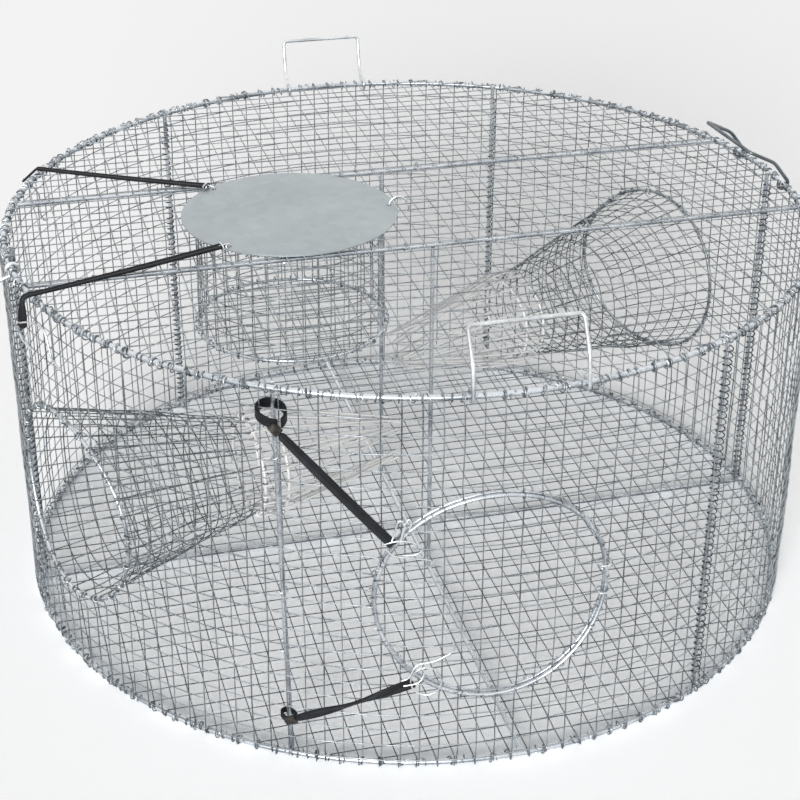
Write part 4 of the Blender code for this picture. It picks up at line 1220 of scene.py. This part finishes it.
for name in ("upper", "lower"):
    low, high = corners(f"{name}_strap_loop")
    centre = (low + high) / 2
    radius = (high.x - low.x) / 2 - LOOP_THICKNESS / 2 + LOOP_GROWTH[name]
    hinge = joints[f"door_strap_{name}_hinge"]
    pivot, axis = Vector(hinge["pos_m"]), -Vector(hinge["axis"])
    hook_low, hook_high = corners(f"door_hook_{name}")
    reach = (hook_low + hook_high) / 2 - pivot
    along = reach.normalized()
    face = (axis - along * axis.dot(along)).normalized()
    side = face.cross(along)
    length = reach.length - (hook_high - hook_low).length / 2 + 0.0035

    section = strap_section(LOOP_BANDS[name], LOOP_THICKNESS, 0.0002)
    stations = []
    crimp_side = math.atan2(pivot.y - centre.y, pivot.x - centre.x)
    long_way = turned(crimp_side, X_AXIS, Y_AXIS)
    for step in range(25):
        turn = crimp_side + math.radians(7 + 346 * step / 24)
        spoke = turned(turn, X_AXIS, Y_AXIS)
        sideways = spoke - long_way * spoke.dot(long_way)
        # The loop is pulled towards the crimp, and the upper one's band dips to it.
        near = math.cos(turn - crimp_side)
        pull, dip = 0.0012 * near, 0
        if name == "upper":
            pull += 0.0022 * max(0, near) ** 4
            dip = 0.0008 + 0.0030 * near + 0.0026 * max(0, near) ** 4
        squeeze = sideways * radius * (1 - LOOP_PINCH[name])
        spot = centre + spoke * (radius + pull) - squeeze
        stations.append((spot - UP * dip, UP, spoke, section))
    fit(loft(f"{name}_loop_band", stations, rubber), "frame",
        [f"{name}_strap_loop"])

    crimp_middle = middle(f"{name}_strap_crimp")
    crimp_along = (pivot - crimp_middle).normalized()
    mouth = (pivot - crimp_middle).length - CRIMP_GAP
    stations = []
    for share, width, deep in CRIMP_SHAPE:
        spot = crimp_middle + crimp_along * (
            -CRIMP_LENGTH / 2 + (CRIMP_LENGTH / 2 + mouth) * share)
        stations.append((spot, side, face, strap_section(width, deep, 0.0)))
    fit(loft(f"{name}_crimp_clip", stations, crimp_steel), "frame",
        [f"{name}_strap_crimp"])

    stations = []
    for step in range(5):
        # The strap's near end is round, so that it turns inside the clip's mouth.
        turn = math.radians(12 + 78 * step / 4)
        width = 0.70 * STRAP_WIDTH
        stations.append((pivot - along * width / 2 * math.cos(turn), side, face,
                         strap_section(width * math.sin(turn), STRAP_THICKNESS, 0.0003)))
    for step in range(1, 13):
        share = step / 12
        bow = face * STRAP_BOW[name] * math.sin(math.pi * share)
        twist = math.radians(STRAP_TWIST[name]) * math.sin(math.pi * share) ** 3
        width = STRAP_WIDTH * (STRAP_NARROW[name] + 0.16 * min(1, 3 * share))
        stations.append((pivot + along * length * share + bow, turned(twist, side, face),
                         turned(twist, face, -side),
                         strap_section(width, STRAP_THICKNESS, 0.0006)))
    fit(loft(f"door_band_{name}", stations, rubber), f"door_strap_{name}",
        [f"door_strap_{name}"])

    # Thin wires go through the strap's end, over the door's ring, and curl back.
    runs = [on_wall(places, HOOK_RADIUS) for places in HOOK_WIRES[name]]
    wire(f"door_hook_wire_{name}", runs, DOOR_HOOK_WIRE, hook_zinc, f"door_hook_{name}",
         body=f"door_strap_{name}")
    print("door strap", name, "length", round(length, 4))

# %% [markdown]
# ## Ring ties
# Rods that the mesh only lies against are tied to it with open wire rings,
# closed with pliers. They are short curls round a rod and the wire beside it,
# set along each rod at uneven steps. Along the rims, one in three takes a
# darker finish, as painted shadow. The uprights are laced to the mesh instead,
# each with one thin wire that winds round it from end to end.

# %% Make the ring ties
TIE_WIRE = 0.0016
TIE_RADIUS = 0.0042
TIE_TIP = 0.35
TIE_STEP = 0.62
RIM_TIES = 130
TIE_CLEAR = 1.3
ROD_TIES = 8
LACED = (1, 2, 4, 5, 6)
LACE_WIRE = 0.0014
LACE_PITCH = 0.0075
LACE_STEPS = 8
LACE_END = 0.01
runs, painted_shade_runs, laces = [], [], []


def tie(centre, along, radius=TIE_RADIUS):
    """An open ring round a line, tipped as pliers leave it."""
    slant = Vector((rng.uniform(-1, 1), rng.uniform(-1, 1), rng.uniform(-1, 1)))
    tipped = (along + TIE_TIP * slant).normalized()
    first = tipped.orthogonal().normalized()
    second = tipped.cross(first)
    start = rng.uniform(0, 2 * math.pi)
    return [centre + radius * turned(start + step * TIE_STEP, first, second)
            + tipped * 0.0005 * step for step in range(10)]


def tie_ring(angle, height, radius, count, tie_radius, sink=0.0):
    """Ties all round a ring in the wall."""
    ring = wall_circle(angle, height, radius, count)
    for number, point in enumerate(ring):
        along = ring[(number + 1) % count] - ring[number - 1]
        runs.append(tie(point - outward(angle) * sink, along.normalized(), tie_radius))


# Each hoop: its height, how much its ties are raised, and their largest radius.
for hoop, level, lift, most in (("top", TOP_HOOP, 0, 0.0052),
                                ("bottom", BOTTOM_HOOP, 0.0014, 0.0042)):
    for number in range(RIM_TIES):
        angle = 360 * (number + rng.uniform(0.1, 0.9)) / RIM_TIES - 180
        if hoop == "top" and near_eye(angle, TIE_CLEAR):
            continue
        spot = on_drum(angle, DRUM_RADIUS + rng.uniform(-0.0004, 0.0014), level)
        ring = tie(spot + UP * lift, tangent(angle), rng.uniform(0.0040, most))
        # One in three rim ties goes in the darker list, as painted shadow.
        (painted_shade_runs if number % 3 == 1 else runs).append(ring)
for number in LACED:
    spot = middle(f"upright_{number}")
    out = Vector((spot.x, spot.y, 0)).normalized()
    turns = (TOP_HOOP - BOTTOM_HOOP - 2 * LACE_END) / LACE_PITCH
    helix = []
    for step in range(int(turns * LACE_STEPS)):
        turn = 2 * math.pi * step / LACE_STEPS
        level = BOTTOM_HOOP + LACE_END + LACE_PITCH * step / LACE_STEPS
        helix.append(Vector((spot.x, spot.y, level)) + out * 0.0018
                     + turned(turn, out * 0.0052, UP.cross(out) * 0.0040))
    laces.append(helix)
for node in ("top_rod_front", "top_rod_back"):
    low, high = corners(node)
    spot = (low + high) / 2
    for step in range(ROD_TIES):
        spot.x = low.x + (high.x - low.x) * (step + rng.uniform(0.3, 0.7)) / ROD_TIES
        runs.append(tie(spot + UP * 0.0012, X_AXIS))
spot = middle(LEANING_UPRIGHT)
for level in (0.13, 0.20, 0.29, 0.35):
    centre = Vector((spot.x, spot.y, level))
    runs.append(tie(centre + outward(drum_angle(spot)) * 0.004, UP, 0.0062))
for mouth in MOUTHS.values():
    tie_ring(*mouth, 22, 0.0036)
tie_ring(*DOOR, 20, 0.0030, 0.0008)
wire("ring_ties", runs, TIE_WIRE, tie_zinc, sides=6)
# These darker ties are painted shadow.
wire("painted_shade_ring_ties", painted_shade_runs, TIE_WIRE, painted_deep_shade_zinc, sides=6)
wire("upright_lacing", laces, LACE_WIRE, lace_zinc, slot="galvanised_mesh", sides=4)
print("ring ties:", len(runs), "and painted shade ones:", len(painted_shade_runs))
